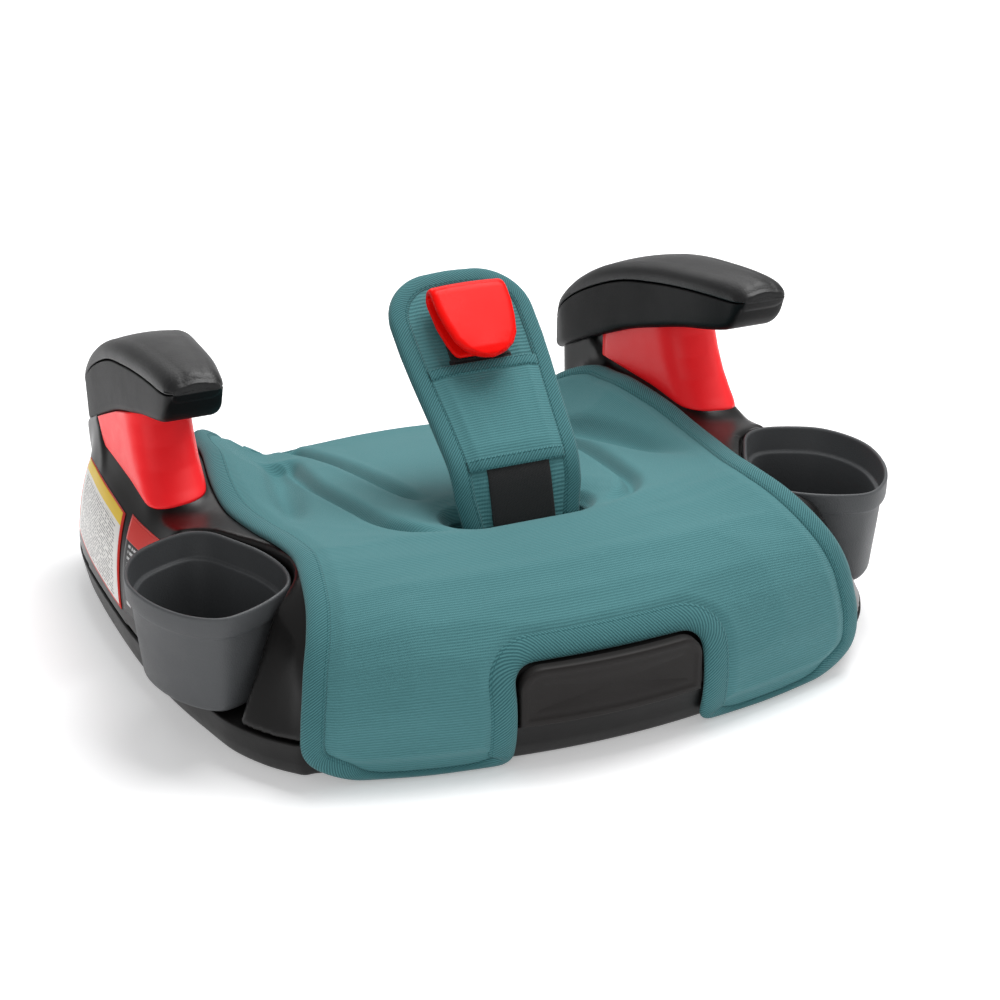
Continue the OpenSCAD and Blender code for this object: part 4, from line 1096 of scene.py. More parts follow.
def sleeve_band(name, low, high):
    """Tape laid flat across the strap, ends tucked under the edge tape."""
    # place across the tape's width, share of its thickness
    section = [(0, 0.0), (0.0, 0.6), (0.12, 1.0), (0.5, 1.12), (0.88, 1.0), (1.0, 0.6),
               (1.0, 0.0)]
    rows, uv = [], []
    for u, rise in section:
        s = low + (high - low) * u
        half = float(pad_half(s, 9.4))
        x = np.linspace(-half, half, 48)
        height = sleeve_height(x, np.clip(s, SLEEVE_LOW, SLEEVE_HIGH)) - 0.2
        rows.append(strap_at(x, s, height + 0.9 * rise))
        uv.append(pairs(x, s + (0.5 if rise == 0 else 0)))
    return closed_strip(name, np.array(rows + rows[:1]), np.array(uv + uv[:1]), TWILL)


band_low = sleeve_band("sleeve_band_lower", 27.0, 33.6)
band_high = sleeve_band("sleeve_band_upper", 86.4, 93.4)


def strap_stitching():
    """One line round the pad and two on each band."""
    def line(x, s, h):
        path = strap_at(x, s, h)
        return path, strap_at(x, s, h + 1) - path
    lines = [line(*(PAD_LINE + PAD_IN * 8.7).T, 0.95)]
    for s in (32.6, 28.0, 87.3, 92.3):
        half = float(pad_half(s, 10.5))
        x = np.linspace(-half, half, 60)
        lines.append(line(x, s, sleeve_height(x, s) + 0.75))
    return stitches("strap_stitching", lines, 3.2, THREAD)


strap_stitches = strap_stitching()


def ribbon(name, s, half, height, thick):
    """Webbing along the strap with rounded edges."""
    flat = np.linspace(-half + 0.6, half - 0.6, 16)
    edge = np.array([(half - 0.15, 0.85), (half, 0.5), (half - 0.15, 0.15)]) * [1, thick]
    section = np.vstack([pairs(flat, thick), edge, pairs(flat[::-1], 0.0),
                         edge[::-1] * [-1, 1]])
    rings = strap_at(section[:, 0], s[:, None], height + section[:, 1])
    return loft(name, rings, WEB, uv=pairs(s[:, None], arc_len(section)))


WEB_TOP, CLIP_WEB_START = 97, 95.6
webbing = ribbon("strap_webbing_black", np.linspace(-27, WEB_TOP, 90), 19.0, 0.45, 1.8)
clip_web = ribbon("clip_webbing_loop", np.linspace(CLIP_WEB_START, 107.5, 14), 18.0, 1.0, 1.7)

# Half widths of the hook by place along the strap: front flap, back leg
FLAP_WIDTH = np.array([(-17.6, 0.8), (-17.0, 3.6), (-15.0, 9.4), (-11.2, 14.8), (-4.5, 18.9),
                       (6, 21.5), (16, 22.9), (24, 23.1), (30, 22.9), (38, 22.5)])
LEG_WIDTH = np.array([(-8.5, 13.5), (-7.5, 15.8), (-5, 17.4), (1, 19.4), (12, 21.6),
                      (30, 22.6)])


def belt_hook():
    """Folded hook: back leg, round bend at the top, front flap with a round tip."""
    wall, step, bend_at, start_s = 2.9, 0.9, 26, 104
    # middle of the wall: place along the strap, height
    u = np.linspace(0, 1, 60)
    path = np.vstack([pairs(np.linspace(-8.5, bend_at, 42), 6.4),
                      arc(bend_at, 12.4, 6.0, -84, 84, 28),
                      pairs(bend_at - 43.8 * u, 18.4 + 0.6 * u)])
    path = resample(path, step)
    normals = side_normals(path)
    count = np.arange(len(path))
    place = path[:, 0]
    half = np.where(count < int(place.argmax()), np.interp(place, *LEG_WIDTH.T),
                    np.interp(place, *FLAP_WIDTH.T))
    front = smooth((path[:, 1] - 11) / 5)
    end = np.minimum(count, len(path) - 1 - count) * step
    taper = 1 - np.clip(end / (1.3 + 0.9 * front), 0, 1)
    thick = (wall + 1.7 * front) * np.sqrt(np.clip(1 - taper ** 2, 0.05, 1))
    rings = []
    for i in count:
        # long straight faces with rounded sides and a slightly crowned front
        radius = min(thick[i] / 2, half[i])
        side = max(half[i] - radius, 0.01)
        flat = np.linspace(-1, 1, 20) * side
        crown = 0.9 * front[i] * (1 - (flat[::-1] / max(half[i], 1)) ** 2) * min(end[i] / 6, 1)
        section = np.vstack([pairs(flat, thick[i] / 2), arc(side, 0, radius, 75, -75, 11),
                             pairs(flat[::-1], -thick[i] / 2 - crown),
                             arc(-side, 0, radius, -105, -255, 11)])
        x, off = section.T
        rings.append(strap_at(x, start_s + (place[i] + normals[i, 0] * off),
                              path[i, 1] + normals[i, 1] * off))
    return loft("lap_belt_hook_red", rings, CLIP_RED)


hook = belt_hook()

# =====================================================================
# hard shell through signed distance fields, so every edge is rounded
# =====================================================================
CELL = 1.7
CELLS_X, CELLS_Y = int(math.ceil(222 / CELL)), int(math.ceil(194 / CELL))
CELL_Z0 = int(15 / CELL)
GRID = (2 * CELLS_X + 1, 2 * CELLS_Y + 1, int(math.ceil(165 / CELL)) - CELL_Z0 + 1)
GRID_START = (-CELLS_X, -CELLS_Y, CELL_Z0)
GRID_SCALE = vdb.createLinearTransform(voxelSize=CELL)


def field(verts, faces, inside):
    """Signed distance to a closed mesh, negative at the point `inside`."""
    def measure(faces):
        kind = "quads" if faces.shape[1] == 4 else "triangles"
        level = vdb.FloatGrid.createLevelSetFromPolygons(
            np.asarray(verts, np.float32), transform=GRID_SCALE, halfWidth=7,
            **{kind: np.ascontiguousarray(faces, np.uint32)})
        values = np.empty(GRID, np.float32)
        level.copyToArray(values, ijk=GRID_START)
        return values
    values = measure(faces)
    x, y, z = inside
    cell = (int(round(x / CELL)) + CELLS_X, int(round(y / CELL)) + CELLS_Y,
            int(z / CELL) - CELL_Z0)
    # faces that point inward are turned round
    return measure(faces[:, ::-1]) if values[cell] > 0 else values


def join(a, b, blend):
    """Union with a rounded inner corner."""
    h = np.maximum(blend - np.abs(a - b), 0) / blend
    return np.minimum(a, b) - h * h * blend * 0.25


def overlap(a, b, blend):
    return -join(-a, -b, blend)


def cut(solid, tool, blend):
    return overlap(solid, -tool.astype(np.float32), blend)


def body_field():
    """Deck and flanks, closed down to z = 12."""
    rows = station(SHELL, np.linspace(0, LAST, 160))
    right = np.stack([flank_point(rows, np.full(160, u)) for u in np.linspace(0, 2, 46)[1:]], 1)
    deck = np.stack([deck_point(rows, np.full(160, s)) for s in np.linspace(-1, 1, 70)], 1)
    top = np.concatenate([right[:, ::-1] * [-1, 1, 1], deck, right], 1)
    top[..., 2] = np.maximum(top[..., 2], JOINT_Z)
    bottom = top.copy()
    bottom[..., 2] = 12.0
    verts = np.vstack([top.reshape(-1, 3), bottom.reshape(-1, 3)])
    return field(verts, slab_faces(*top.shape[:2]), inside=(0, 0, 40))


def post_at(z):
    """y front, y rear, x inner, x at the bend, x outer."""
    return np.stack([np.interp(z, POST[:, 0], POST[:, k]) for k in range(1, 6)], -1)


def corner(before, point, after, radius, count):
    start = point + unit(before - point) * radius
    end = point + unit(after - point) * radius
    return [(1 - u) ** 2 * start + 2 * u * (1 - u) * point + u * u * end
            for u in np.linspace(0, 1, count)]


def post_section(sizes, inset):
    front, rear, inner, bend, outer = sizes
    points = np.array([
        (inner + inset, front + inset), (outer - inset, front + inset),
        (outer - inset, rear - inset), (POST_REAR_X + inset, rear - inset),
        (bend + inset, POST_BEND_Y)])
    radii = [POST_CORNER - inset, POST_CORNER - inset, 9, 9, 12]
    return np.array([p for i in range(5)
                     for p in corner(points[i - 1], points[i], points[(i + 1) % 5], radii[i], 6)])


def post_field(inset):
    heights = np.concatenate([[30], np.linspace(60, 160, 60)])
    sections = [post_section(sizes, inset) for sizes in post_at(heights)]
    rings = np.array([np.column_stack([section, np.full(len(section), z)])
                      for z, section in zip(heights, sections)])
    verts, sides, fans = capped_tube(rings)
    faces = np.vstack([sides[:, [0, 1, 2, 0, 2, 3]].reshape(-1, 3), fans])
    return field(verts, faces, inside=(165, 110, 100))


def arm_under(y):
    return np.interp(y, ARM[::-1, 4], ARM[::-1, 5])


def guide_rear(z):
    return 108 + (z - 83) * 1.2


def guide_rear_outer(z):
    return np.minimum(126 + (z - 83) * 0.85, 162)


def rounded_box(x, z, half, top, radius):
    """Distance to a box with rounded top corners that is open below."""
    dx, dz = np.abs(x) - (half - radius), z - (top - radius)
    return (np.hypot(np.maximum(dx, 0), np.maximum(dz, 0))
            + np.minimum(np.maximum(dx, dz), 0) - radius)


def shell_field():
    axis_x = (np.arange(GRID[0]) - CELLS_X) * CELL
    axis_y = (np.arange(GRID[1]) - CELLS_Y) * CELL
    axis_z = (np.arange(GRID[2]) + CELL_Z0) * CELL
    x, y, z = axis_x[:, None, None], axis_y[None, :, None], axis_z[None, None, :]
    body = body_field()
    # the post is full size behind the belt guide and slimmer where the guide wraps it;
    # the guide's inner side reaches a little further back than its outer side
    core = post_field(GUIDE_THICK + 0.5)
    full = post_field(0.0)
    inner = (guide_rear(z) + 0.4 - y) * 0.64 + 9.3
    outer = (guide_rear_outer(z) + 0.4 - y) * 0.76
    behind = np.broadcast_to(np.where(x < 160, inner, outer), GRID).astype(np.float32)
    post = np.minimum(core, overlap(full, behind, 0.8))
    post = np.maximum(post, (z - arm_under(axis_y)[None, :, None] - 3.0).astype(np.float32))
    # posts on both sides flow into the deck
    shell = join(body, np.minimum(post, post[::-1]), 9.0)

    # cup holder niches, each with a round peg on its floor
    plan_x, plan_y = np.meshgrid(axis_x, axis_y, indexing="ij")
    distance = np.full(plan_x.shape, 30.0)
    near = (plan_x > 130) & (plan_y > -130) & (plan_y < 15)
    distance[near] = loop_distance(plan_x[near], plan_y[near], smooth_loop(CUP, 10))
    distance = np.minimum(distance, distance[::-1])
    niche = np.maximum(distance[:, :, None] - 1.6, 26.9 - z)
    peg = np.maximum(np.hypot(np.abs(plan_x) - 180, plan_y + 60)[:, :, None] - 6.0, z - 31.0)
    shell = cut(shell, overlap(niche, -peg, 1.0), 3.2)

    # slot for the strap and seat for the front panel
    slot = np.maximum(np.maximum(np.abs(x) - 21.5, np.abs(y + 61.75) - 5.3), 50.0 - z)
    shell = cut(shell, slot, 1.5)
    outline = rounded_box(x, z, PANEL_HALF + PANEL_GAP, PANEL_TOP + PANEL_GAP, 13.6)
    seat_depth = np.maximum(296.2 - np.hypot(x, y - PANEL_AXIS_Y), y + 120)
    shell = cut(shell, np.maximum(outline, seat_depth), 0.8)
    return np.maximum(shell, (JOINT_Z + 0.4 - z).astype(np.float32))


def relax(points, quads, passes):
    """Light smoothing that takes the voxel steps off sharp edges."""
    edges = np.vstack([quads[:, [i, (i + 1) % 4]] for i in range(4)]).astype(np.int64)
    count = len(points)
    for _ in range(passes):
        total, number = np.zeros_like(points), np.zeros(count)
        for i, j in ((0, 1), (1, 0)):
            for k in range(3):
                total[:, k] += np.bincount(edges[:, i], weights=points[edges[:, j], k],
                                           minlength=count)
            number += np.bincount(edges[:, i], minlength=count)
        points = points * 0.5 + 0.5 * total / np.maximum(number, 1)[:, None]
    return points


def seat_shell():
    level = vdb.FloatGrid(3.0)
    level.transform = GRID_SCALE
    band = 3 * CELL
    values = np.clip(shell_field(), -band, band).astype(np.float32)
    # the grid's outer layer is held outside, which closes the surface
    values[[0, -1]] = values[:, [0, -1]] = values[:, :, [0, -1]] = band
    level.copyFromArray(values, ijk=GRID_START)
    points, quads = level.convertToQuads(isovalue=0.0)
    obj = make("seat_shell_black", relax(points.astype(float), quads, passes=4), quads, BODY)
    polygons = obj.data.polygons
    normals, centres = np.zeros((2, len(polygons) * 3), np.float32)
    polygons.foreach_get("normal", normals)
    polygons.foreach_get("center", centres)
    if (normals.reshape(-1, 3) * (centres.reshape(-1, 3) - [0, 0, 0.05])).sum() < 0:
        obj.data.flip_normals()
    return obj


shell = seat_shell()

# ---------- base tray ----------
# Levels of the tray from the floor up: inward share of x, of y, then z
TRAY_LEVELS = [
    (0.047, 0.073, 0.0), (0.041, 0.065, 0.15), (0.0345, 0.057, 0.9), (0.0295, 0.050, 2.0),
    (0.0245, 0.0435, 4.0), (0.020, 0.036, 6.5), (0.0145, 0.0265, 9.5), (0.0115, 0.021, 12.0),
    (0.0075, 0.014, 16.0), (0.0035, 0.0065, 20.5), (0.0008, 0.0015, 23.6),
    (0.0008, 0.0014, 24.3), (0.0025, 0.003, 24.75), (0.008, 0.009, 24.95)]


def joint_outline():
    """Plan outline of the shell's foot, from the front centre round by the right."""
    front, rear = station(SHELL, np.array([LAST])), station(SHELL, np.array([0.0]))
    path = np.vstack([
        deck_point(front, np.linspace(0, 1, 40))[:, :2],
        flank_point(front, np.linspace(0.2, 1.9, 8))[:, :2],
        station(SHELL, np.linspace(LAST, 0, 200))[:, [11, 12]],
        flank_point(rear, np.linspace(1.9, 0.2, 12))[:, :2],
        deck_point(rear, np.linspace(1, 0, 40))[:, :2]])
    loop = np.vstack([path, (path * [-1, 1])[::-1][1:-1]])
    return blur_loop(resample(loop, 2.2, closed=True), 1.3)


def base_tray():
    loop, middle_y = joint_outline(), 10
    rings = [np.column_stack([loop[:, 0] * (1 - in_x),
                              middle_y + (loop[:, 1] - middle_y) * (1 - in_y),
                              np.full(len(loop), z)]) for in_x, in_y, z in TRAY_LEVELS]
    return loft("base_tray_black", rings, BASE)


tray = base_tray()

# ---------- front panel ----------
# Section of the panel from back to face: inset of the outline, radius from its axis
PANEL_SECTION = [(0.0, 297.0), (0.0, 302.3), (0.25, 303.0), (0.9, 303.5), (3.2, 303.55),
                 (3.9, 303.35), (4.6, 302.95), (6.5, 302.8), (9.5, 302.8)]


def panel_outline(inset):
    half, low, top = PANEL_HALF - inset, PANEL_LOW + inset, PANEL_TOP - inset
    radius = PANEL_CORNER - inset
    side, shoulder = half - radius, top - radius
    upright = np.linspace(low + 1, shoulder, 14)
    return np.vstack([
        pairs(np.linspace(-half, half, 60), low),
        pairs(half, upright),
        arc(side, shoulder, radius, 3, 90, 18),
        pairs(np.linspace(side - 1.5, -side + 1.5, 50), top),
        arc(-side, shoulder, radius, 90, 177, 18),
        pairs(-half, np.linspace(shoulder, low + 1, 14))])


def front_panel():
    rings = []
    for inset, radius in PANEL_SECTION:
        x, z = panel_outline(inset).T
        rings.append(np.column_stack([x, PANEL_AXIS_Y - np.sqrt(radius * radius - x ** 2), z]))
    return loft("front_panel_blank", rings, PANEL)


panel = front_panel()


# ---------- armrests ----------
def rounded_end(ring, before, depth, pull):
    """Rings that close an end with a rounding."""
    outward = unit(ring.mean(0) - before.mean(0))
    centre = ring.mean(0)
    rings = []
    for angle in np.radians((18, 36, 54, 70, 82)):
        scale = 1 - (1 - math.cos(angle)) * pull
        rings.append(centre + (ring - centre) * scale + outward * depth * math.sin(angle))
    return rings + [centre + (ring - centre) * 0.6 + outward * depth]


def armrest(name, mat, low, high, fill, low_radius, top_radius, crown, lift):
    """Closed cross sections from rear to tip, between two pairs of ARM columns."""
    rings, stretch = [], 1.25
    for row in station(ARM, np.linspace(0, 10, 90)):
        start = row[low]
        up = (row[high] - start) * fill
        height = np.linalg.norm(up)
        up = up / max(height, 1e-6)
        inner, outer = row[6:8]
        width = outer - inner
        r_low = min(low_radius, width * 0.42, height * 0.7)
        r_top = min(top_radius, width * 0.42, height * 0.92)
        reach, shoulder = r_top * stretch, height - r_top
        sides = r_low + (shoulder - r_low) * np.array([0.25, 0.5, 0.75])
        u = np.linspace(0, 1, 14)[1:-1]
        section = np.vstack([
            arc(inner + r_low, r_low, r_low, 180, 270, 7),
            pairs(np.linspace(inner + r_low, outer - r_low, 10)[1:-1], 0.0),
            arc(outer - r_low, r_low, r_low, 270, 360, 7),
            pairs(outer, sides),
            arc(outer - reach, shoulder, r_top, 0, 90, 10, stretch),
            pairs(outer - reach + (inner - outer + 2 * reach) * u,
                  height + crown * (1 - (2 * u - 1) ** 2)),
            arc(inner + reach, shoulder, r_top, 90, 180, 10, stretch),
            pairs(inner, sides[::-1])])
        x, rise = section.T
        rings.append(np.column_stack([x, start[0] + up[0] * rise,
                                      start[1] + up[1] * rise + lift]))
    rear = rounded_end(rings[0], rings[2], depth=4.0, pull=0.3)[::-1]
    tip = rounded_end(rings[-1], rings[-3], depth=2.4, pull=0.16)
    return loft(name, rear + rings + tip, mat)


arm_housing = armrest("armrest_housing_right", ARM_BLACK, ARM_UNDER, ARM_SPLIT, fill=0.985,
                      low_radius=5.5, top_radius=0.8, crown=0.0, lift=0.0)
arm_top = armrest("armrest_top_right", ARM_PAD, ARM_SPLIT, ARM_TOP, fill=1.0,
                  low_radius=1.0, top_radius=8.8, crown=1.2, lift=0.45)


# ---------- belt guides ----------
def guide_low(x, y):
    return 88.2 + 2.3 * smooth((y - 40) / 40) - 2.6 * (x - 152) / 37


@lru_cache(maxsize=None)
def guide_line(steps, inset):
    """Guide in plan at a height of steps / 20: inner side, front, outer side."""
    z = steps / 20
    front, rear, inner, bend, outer = post_at(z)
    a, b, c, d = (np.array(point, float) for point in (
        (inner + inset, front + inset), (outer - inset, front + inset),
        (outer - inset, rear - inset), (bend + inset, POST_BEND_Y)))
    radius = POST_CORNER - inset
    inner_corner, outer_corner = corner(d, a, b, radius, 9), corner(a, b, c, radius, 9)
    y1, y2 = inner_corner[0][1], outer_corner[-1][1]
    rear_inner = min(guide_rear(z) + 14.0, POST_BEND_Y - 2)
    y = rear_inner + (y1 - rear_inner) * np.linspace(0, 1, 16, endpoint=False)
    inner_side = pairs(a[0] + (d[0] - a[0]) * (y - a[1]) / (d[1] - a[1]), y)
    y = (guide_rear_outer(z) - y2) * np.linspace(0, 1, 17)[1:]
    outer_side = pairs(b[0] + (c[0] - b[0]) * y / max(c[1] - y2, 1), y2 + y)
    return np.vstack([inner_side, inner_corner, outer_corner, outer_side])


def guide_at(z, inset):
    """The guide's line with z rounded to 0.05 mm, so repeated heights are reused."""
    return guide_line(round(float(z) * 20), inset)


def guide_grid(inset):
    """Points from the guide's lower edge up to the armrest."""
    start = guide_at(105, inset)
    grid = []
    for up in np.linspace(0, 1, 44):
        row = []
        for j, point in enumerate(start):
            # plan place and height depend on each other and settle in three rounds
            for turn in range(4):
                z = guide_low(*point) * (1 - up) + (arm_under(point[1]) + 0.6) * up
                if turn < 3:
                    point = guide_at(z, inset)[j]
            row.append([*point, z])
        grid.append(row)
    return np.array(grid)


def belt_guide():
    outer, inner = guide_grid(0.0), guide_grid(GUIDE_THICK)
    # the free edges are thinned so they look rounded
    middle = (outer + inner) / 2
    share = np.ones(outer.shape[:2])
    for k, value in enumerate((0.55, 0.8, 0.93)):
        for edge in (share[k], share[:, k], share[:, -1 - k]):
            np.minimum(edge, value, out=edge)
    outer = middle + (outer - middle) * share[..., None]
    return slab("belt_guide_red_right", outer, inner, RED)


guide = belt_guide()

# ---------- cup holders ----------
RIM_Z, CUP_FLOOR, CUP_BAND, CUP_STEP, CUP_WALL = 88.8, 27.4, 12.0, 2.6, 2.4


def cup_profile():
    """Section of the cup wall: distance in from the rim outline, z."""
    band_z = RIM_Z - CUP_BAND
    height = band_z - CUP_FLOOR
    ledge = RIM_Z - 15.5
    step, wall = CUP_STEP, CUP_WALL
    return np.vstack([
        # outside, from the floor up
        arc(step + 10.5, CUP_FLOOR + 6.0, 6.0, -90, -180, 9),
        [(step + 3.6, CUP_FLOOR + height * 0.3), (step + 2.0, band_z - height * 0.4),
         (step + 0.4, band_z - 3.0), (step + 0.15, band_z - 1.2), (step - 0.3, band_z - 0.5),
         (1.1, band_z - 0.25), (0.6, band_z + 0.1), (0.4, band_z + 0.7), (0.2, band_z + 4),
         # over the rim
         (0.0, RIM_Z - 1.8), (0.12, RIM_Z - 0.8), (0.5, RIM_Z - 0.2), (1.1, RIM_Z),
         (1.7, RIM_Z - 0.15), (2.15, RIM_Z - 0.7), (wall, RIM_Z - 1.7),
         # inside, down to the floor
         (wall + 0.5, ledge + 1.4), (wall + 0.8, ledge + 0.7), (wall + 1.4, ledge + 0.35),
         (wall + 2.6, ledge + 0.2), (wall + 3.1, ledge - 0.2), (wall + 3.3, ledge - 1.0),
         (wall + 4.4, ledge - height * 0.35), (wall + 6.0, CUP_FLOOR + 14)],
        arc(wall + 11.3, CUP_FLOOR + 8.0, 5.0, 180, 270, 8)])


def cup_holder():
    base = smooth_loop(CUP, 12)
    inward = side_normals(base, closed=True)
    rings = []
    for inset, z in cup_profile():
        loop = blur_loop(base + inward * inset, 0.5 + inset * 0.35)
        rings.append(np.column_stack([loop, np.full(len(loop), z)]))

    def shrunk(ring, scales):
        centre = ring.mean(0)
        return [centre + (ring - centre) * scale for scale in scales]
    # both floors close towards the middle
    rings = shrunk(rings[0], (0.25, 0.6, 0.9)) + rings + shrunk(rings[-1], (0.9, 0.6, 0.25))
    return loft("cup_holder_charcoal_right", rings, CHARCOAL)


cup = cup_holder()

# ---------- printed labels on the left flank; UV is 0..1 over each ----------
LABEL_RED = srgb(222, 44, 34)


def print_lines(m, x, y, rows, gap, spread, row_shift, scale, detail, threshold):
    """Broken bars that stand in for rows of print."""
    bar = m.above(m.calc("FRACT", m.mul(y, rows)), gap)
    row = m.calc("FLOOR", m.mul(y, rows))
    place = m.node("ShaderNodeCombineXYZ")
    m.put(place.inputs[0], m.mul(x, spread))
    m.put(place.inputs[1], m.mul(row, row_shift))
    words = m.noise(place.outputs[0], scale, detail, dims="2D")
    return m.mul(bar, m.above(words, threshold))


def label_material():
    m = Mat("label_print", rough=0.34)
    _, x, y = m.uv_xy()
    uneven = m.noise(m.coord("Object"), scale=30, detail=3)
    ink = print_lines(m, x, y, rows=30.0, gap=0.48, spread=26.0, row_shift=7.3, scale=1.6,
                      detail=3, threshold=0.44)
    inside = m.mul(m.between(x, 0.09, 0.91), m.between(y, 0.05, 0.79))
    color = m.mix(m.mul(ink, inside), srgb(236, 234, 230), srgb(150, 148, 146))
    color = m.mix(m.above(y, 0.83), color, srgb(244, 208, 40))
    # red outline
    edge_x = m.calc("MINIMUM", x, m.calc("SUBTRACT", 1.0, x))
    edge_y = m.calc("MINIMUM", y, m.calc("SUBTRACT", 1.0, y))
    nearest = m.calc("MINIMUM", m.mul(edge_x, 0.75), edge_y)
    color = m.mix(m.calc("LESS_THAN", nearest, 0.022), color, LABEL_RED)
    color = m.mix(m.remap(uneven, (0.4, 0.7), to=(0, 0.08)), color, srgb(190, 186, 180))
    return m.done(color, normal=m.bump(uneven, depth=0.05))


def strip_material():
    m = Mat("label_strip_print", rough=0.34)
    _, x, y = m.uv_xy()
    head = m.above(y, 0.72)
    ink = print_lines(m, x, y, rows=16.0, gap=0.5, spread=14.0, row_shift=5.1, scale=1.5,
                      detail=2, threshold=0.42)
    inside = m.mul(m.between(x, 0.12, 0.9), m.above(y, 0.08))
    color = m.mix(m.mul(ink, inside), srgb(24, 24, 25), srgb(205, 205, 205))
    color = m.mix(head, color, LABEL_RED)
    uneven = m.noise(m.coord("Object"), scale=30, detail=3)
    return m.done(color, normal=m.bump(uneven, depth=0.05))


LABEL, STRIP = label_material(), strip_material()


def left_flank(t, u, off):
    """Point lifted off the left flank."""
    step = 0.02
    rows = station(SHELL, t)
    along = (flank_point(station(SHELL, t + step), u)
             - flank_point(station(SHELL, t - step), u))
    normal = unit(np.cross(along, flank_point(rows, u + step) - flank_point(rows, u - step)))
    normal *= np.sign(normal[..., :1])
    return (flank_point(rows, u) + normal * off) * [-1, 1, 1]


def label_patch(name, corners, mat):
    """corners are (t, u) at bottom rear, bottom front, top front, top rear."""
    a, b, c, d = np.array(corners, float)
    u, v = np.meshgrid(np.linspace(0, 1, 24), np.linspace(0, 1, 24), indexing="ij")
    place = (((1 - u) * (1 - v))[..., None] * a + (u * (1 - v))[..., None] * b
             + (u * v)[..., None] * c + ((1 - u) * v)[..., None] * d)
    top, bottom = (left_flank(place[..., 0], place[..., 1], off) for off in (0.42, 0.12))
    return slab(name, top, bottom, mat, uv=np.stack([u, v], -1))


label_main = label_patch("side_label_main",
                         [(3.25, 1.85), (7.62, 1.90), (6.71, 1.21), (3.05, 1.24)], LABEL)
label_strip = label_patch("side_label_strip",
                          [(7.78, 1.88), (9.15, 1.86), (8.34, 1.14), (6.92, 1.15)], STRIP)


# ---------- foam under the cover ----------
def foam_pad():
    t, across = np.meshgrid(np.linspace(2.2, 13.4, 110), np.linspace(-0.86, 0.86, 90),
                            indexing="ij")
    plain = cover_at(t, across)
    offset = cloth_offset(plain, np.full(t.shape, 40.0))[0]
    points = plain + normals_at(t, across) * (np.minimum(offset, -0.5) - 5.2)[..., None]
    hole, gap = hole_dist(points), 3.0
    points = snap_to_hole(points, np.abs(hole - gap) < 1.6, gap)
    used, faces = kept_part(hole > 1.4)
    obj = make("foam_pad_pale", points.reshape(-1, 3)[used], faces, FOAM)
    thicken(obj, 7.5)
    return obj


foam = foam_pad()


# ---------- tail of the webbing round its bar ----------
def strap_tail():
    # y, z of the webbing's middle line
    path = np.vstack([
        [(-60.4, 92.0), (-61.2, 84.0), (-62.0, 76.0), (-62.4, 70.0), (-62.6, 65.0)],
        arc(-61.5, 58.0, 4.1, 105, 415, 34)])
    path = resample(path, 1.2)
    normals = side_normals(path)[:, None]
    half, thick = 19.0, 1.7
    flat = np.linspace(-half + 0.5, half - 0.5, 14)
    x, off = np.vstack([pairs(flat, thick / 2), [(half, 0.2), (half, -0.2)],
                        pairs(flat[::-1], -thick / 2), [(-half, -0.2), (-half, 0.2)]]).T
    y, z = (path[:, None, k] + normals[..., k] * off for k in (0, 1))
    rings = np.stack(np.broadcast_arrays(x, y, z), -1)
    return loft("strap_tail_webbing", rings, WEB, uv=pairs(arc_len(path)[:, None], x + off))


tail = strap_tail()

# ---------- left-hand copies ----------
arm_housing_left = mirrored(arm_housing, "armrest_housing_left")
arm_top_left = mirrored(arm_top, "armrest_top_left")
guide_left = mirrored(guide, "belt_guide_red_left")
cup_left = mirrored(cup, "cup_holder_charcoal_left")

# ---------- CAD nodes that stay ----------
for node_name in ("base_screws", "armrest_screws", "strap_anchor_bar"):
    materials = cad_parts[node_name].data.materials
    materials.clear()
    materials.append(STEEL)

# =====================================================================
# what moves with what: object, body, CAD node it replaces, slot
# =====================================================================
for obj, body_name, node_name, slot_name in (
        (cushion, "base", "seat_cover", "seat_cover"),
        (cover_tape, "base", "cover_binding", "cover_binding"),
        (lining, "base", None, "seat_cover"),
        (edge_stitching, "base", None, "cover_binding"),
        (cutout_stitching, "base", None, "cover_binding"),
        (foam, "base", "foam_pad", "foam_pad"),
        (shell, "base", "seat_shell", "seat_shell"),
        (tray, "base", "base_pan", "base_pan"),
        (panel, "base", "front_panel", "front_panel"),
        (arm_housing, "base", "armrest_shell_right", "armrest_shell"),
        (arm_housing_left, "base", "armrest_shell_left", "armrest_shell"),
        (arm_top, "base", "armrest_pad_right", "armrest_pad"),
        (arm_top_left, "base", "armrest_pad_left", "armrest_pad"),
        (guide, "base", "belt_guide_right", "belt_guide"),
        (guide_left, "base", "belt_guide_left", "belt_guide"),
        (label_main, "base", "side_label", "label"),
        (label_strip, "base", None, "label"),
        (tail, "base", "strap_tail", "webbing"),
        (cup, "cup_right", "cup_holder_right", "cup_holder"),
        (cup_left, "cup_left", "cup_holder_left", "cup_holder"),
        (sleeve_panel, "strap", "strap_sleeve", "strap_tape"),
        (band_low, "strap", None, "strap_tape"),
        (band_high, "strap", None, "strap_tape"),
        (hook, "clip", "lap_belt_clip", "clip")):
    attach(obj, body_name)
    if node_name:
        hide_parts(node_name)


def strap_place(s):
    """Place on the strap's middle line, in metres."""
    return tuple(float(value) * MM for value in strap_at(0, s, 0.0))


for obj, node_name, slot_name in (
        (webbing, "strap_webbing", "webbing"), (strap_pad, "strap_pad", "strap_pad"),
        (strap_tape, "strap_piping", "strap_tape"), (strap_stitches, None, "strap_tape")):
    strap_place(PAD_BOTTOM)
    strap_place(14)
    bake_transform(obj)
    if node_name:
        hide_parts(node_name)
strap_place(CLIP_WEB_START)
strap_place(101)
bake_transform(clip_web)
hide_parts("clip_webbing")


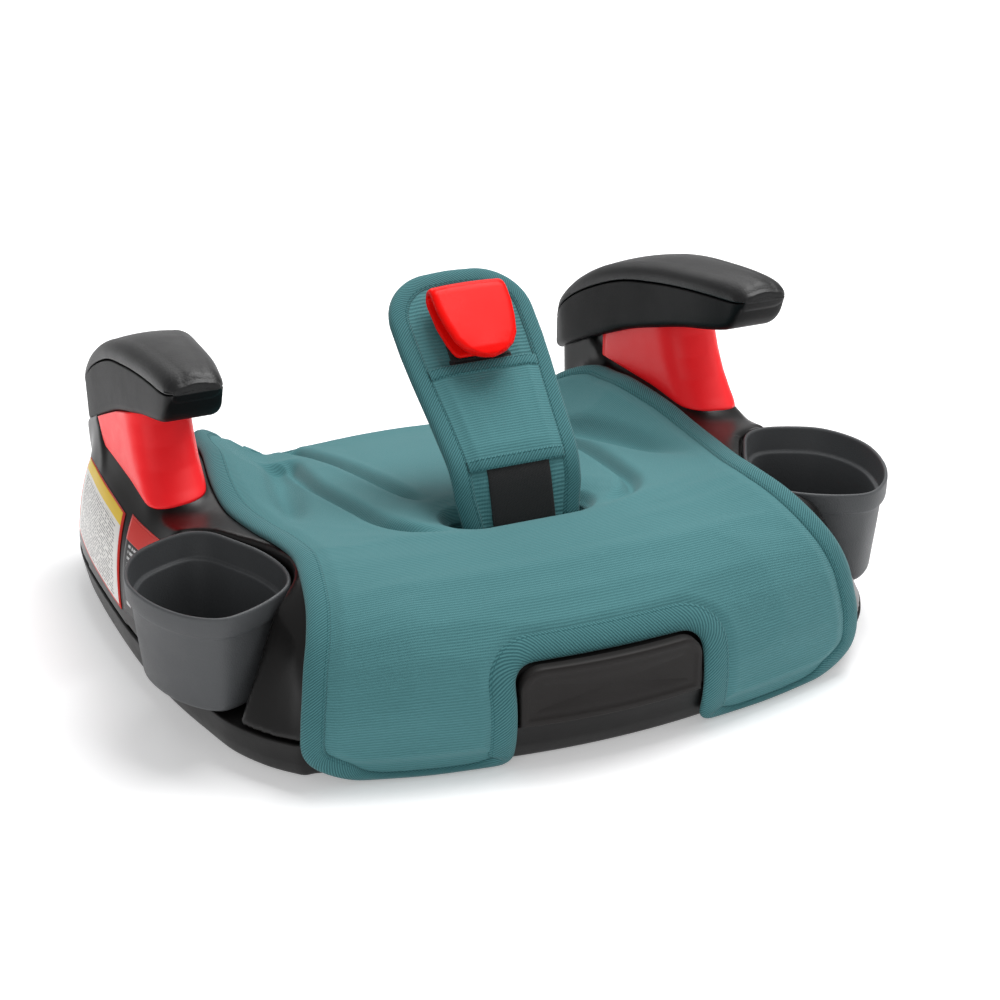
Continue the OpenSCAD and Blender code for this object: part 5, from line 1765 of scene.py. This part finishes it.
# =====================================================================
# floor, light, camera; metres from here on
# =====================================================================
def studio_floor():
    m = Mat("floor_pale", rough=0.75, spec=0.15,
            inputs={"Emission Color": (1, 1, 1, 1), "Emission Strength": 0.3})
    uneven = m.noise(m.coord("Object"), scale=3, detail=3)
    m.done(srgb(246, 246, 247), m.remap(uneven, (0.3, 0.7), to=(0.7, 0.8)))
    bpy.ops.mesh.primitive_plane_add(size=14, location=(0, 0, -0.0002))
    floor = bpy.context.object
    floor.name = "studio_floor"
    floor.data.materials.append(m.material)


def studio_world():
    """White to the camera, dimmer as a light."""
    world = bpy.data.worlds.new("studio")
    bpy.context.scene.world = world
    world.use_nodes = True
    tree = world.node_tree
    seen = tree.nodes["Background"]
    lit = tree.nodes.new("ShaderNodeBackground")
    for background, strength in ((seen, 1.0), (lit, 0.36)):
        background.inputs[0].default_value = (1, 1, 1, 1)
        background.inputs[1].default_value = strength
    rays = tree.nodes.new("ShaderNodeLightPath")
    mix = tree.nodes.new("ShaderNodeMixShader")
    tree.links.new(rays.outputs["Is Camera Ray"], mix.inputs[0])
    tree.links.new(lit.outputs[0], mix.inputs[1])
    tree.links.new(seen.outputs[0], mix.inputs[2])
    tree.links.new(mix.outputs[0], tree.nodes["World Output"].inputs[0])


def area_light(name, place, target_z, width, height, watts):
    """Rectangular light aimed at a point above the origin."""
    light = bpy.data.lights.new(name, "AREA")
    light.energy = watts
    light.shape = "RECTANGLE"
    light.size = width
    light.size_y = height
    obj = link_object(name, light)
    obj.location = place
    aim = Vector((0, 0, target_z)) - Vector(place)
    obj.rotation_euler = aim.to_track_quat("-Z", "Y").to_euler()


def camera():
    turn, tilt, distance = math.radians(-23.4686), math.radians(25.2051), 1.55382
    target = Vector((0.022907, 0.025, 0.056584))
    back = Vector((math.sin(turn) * math.cos(tilt), -math.cos(turn) * math.cos(tilt),
                   math.sin(tilt)))
    right = Vector((math.cos(turn), math.sin(turn), 0))
    up = back.cross(right)
    place = target + back * distance
    view = bpy.data.cameras.new("photo_view")
    view.sensor_width = 36
    view.lens = 93.56292
    obj = link_object("photo_view", view)
    rows = [(right[k], up[k], back[k], place[k]) for k in range(3)]
    obj.matrix_world = Matrix((*rows, (0, 0, 0, 1)))
    bpy.context.scene.camera = obj


studio_floor()
studio_world()
area_light("key_top", (0.5, 0.28, 1.65), target_z=0.05, width=1.1, height=1.1, watts=30)
area_light("front_fill", (-1.3, -1.6, 0.9), target_z=0.08, width=1.4, height=1.0, watts=6.5)
area_light("right_strip", (1.4, -0.5, 0.8), target_z=0.08, width=0.5, height=1.2, watts=3)
area_light("rear_rim", (0.3, 1.6, 1.2), target_z=0.1, width=1.4, height=0.7, watts=6)
camera()
bpy.context.scene.view_settings.view_transform = "Standard"
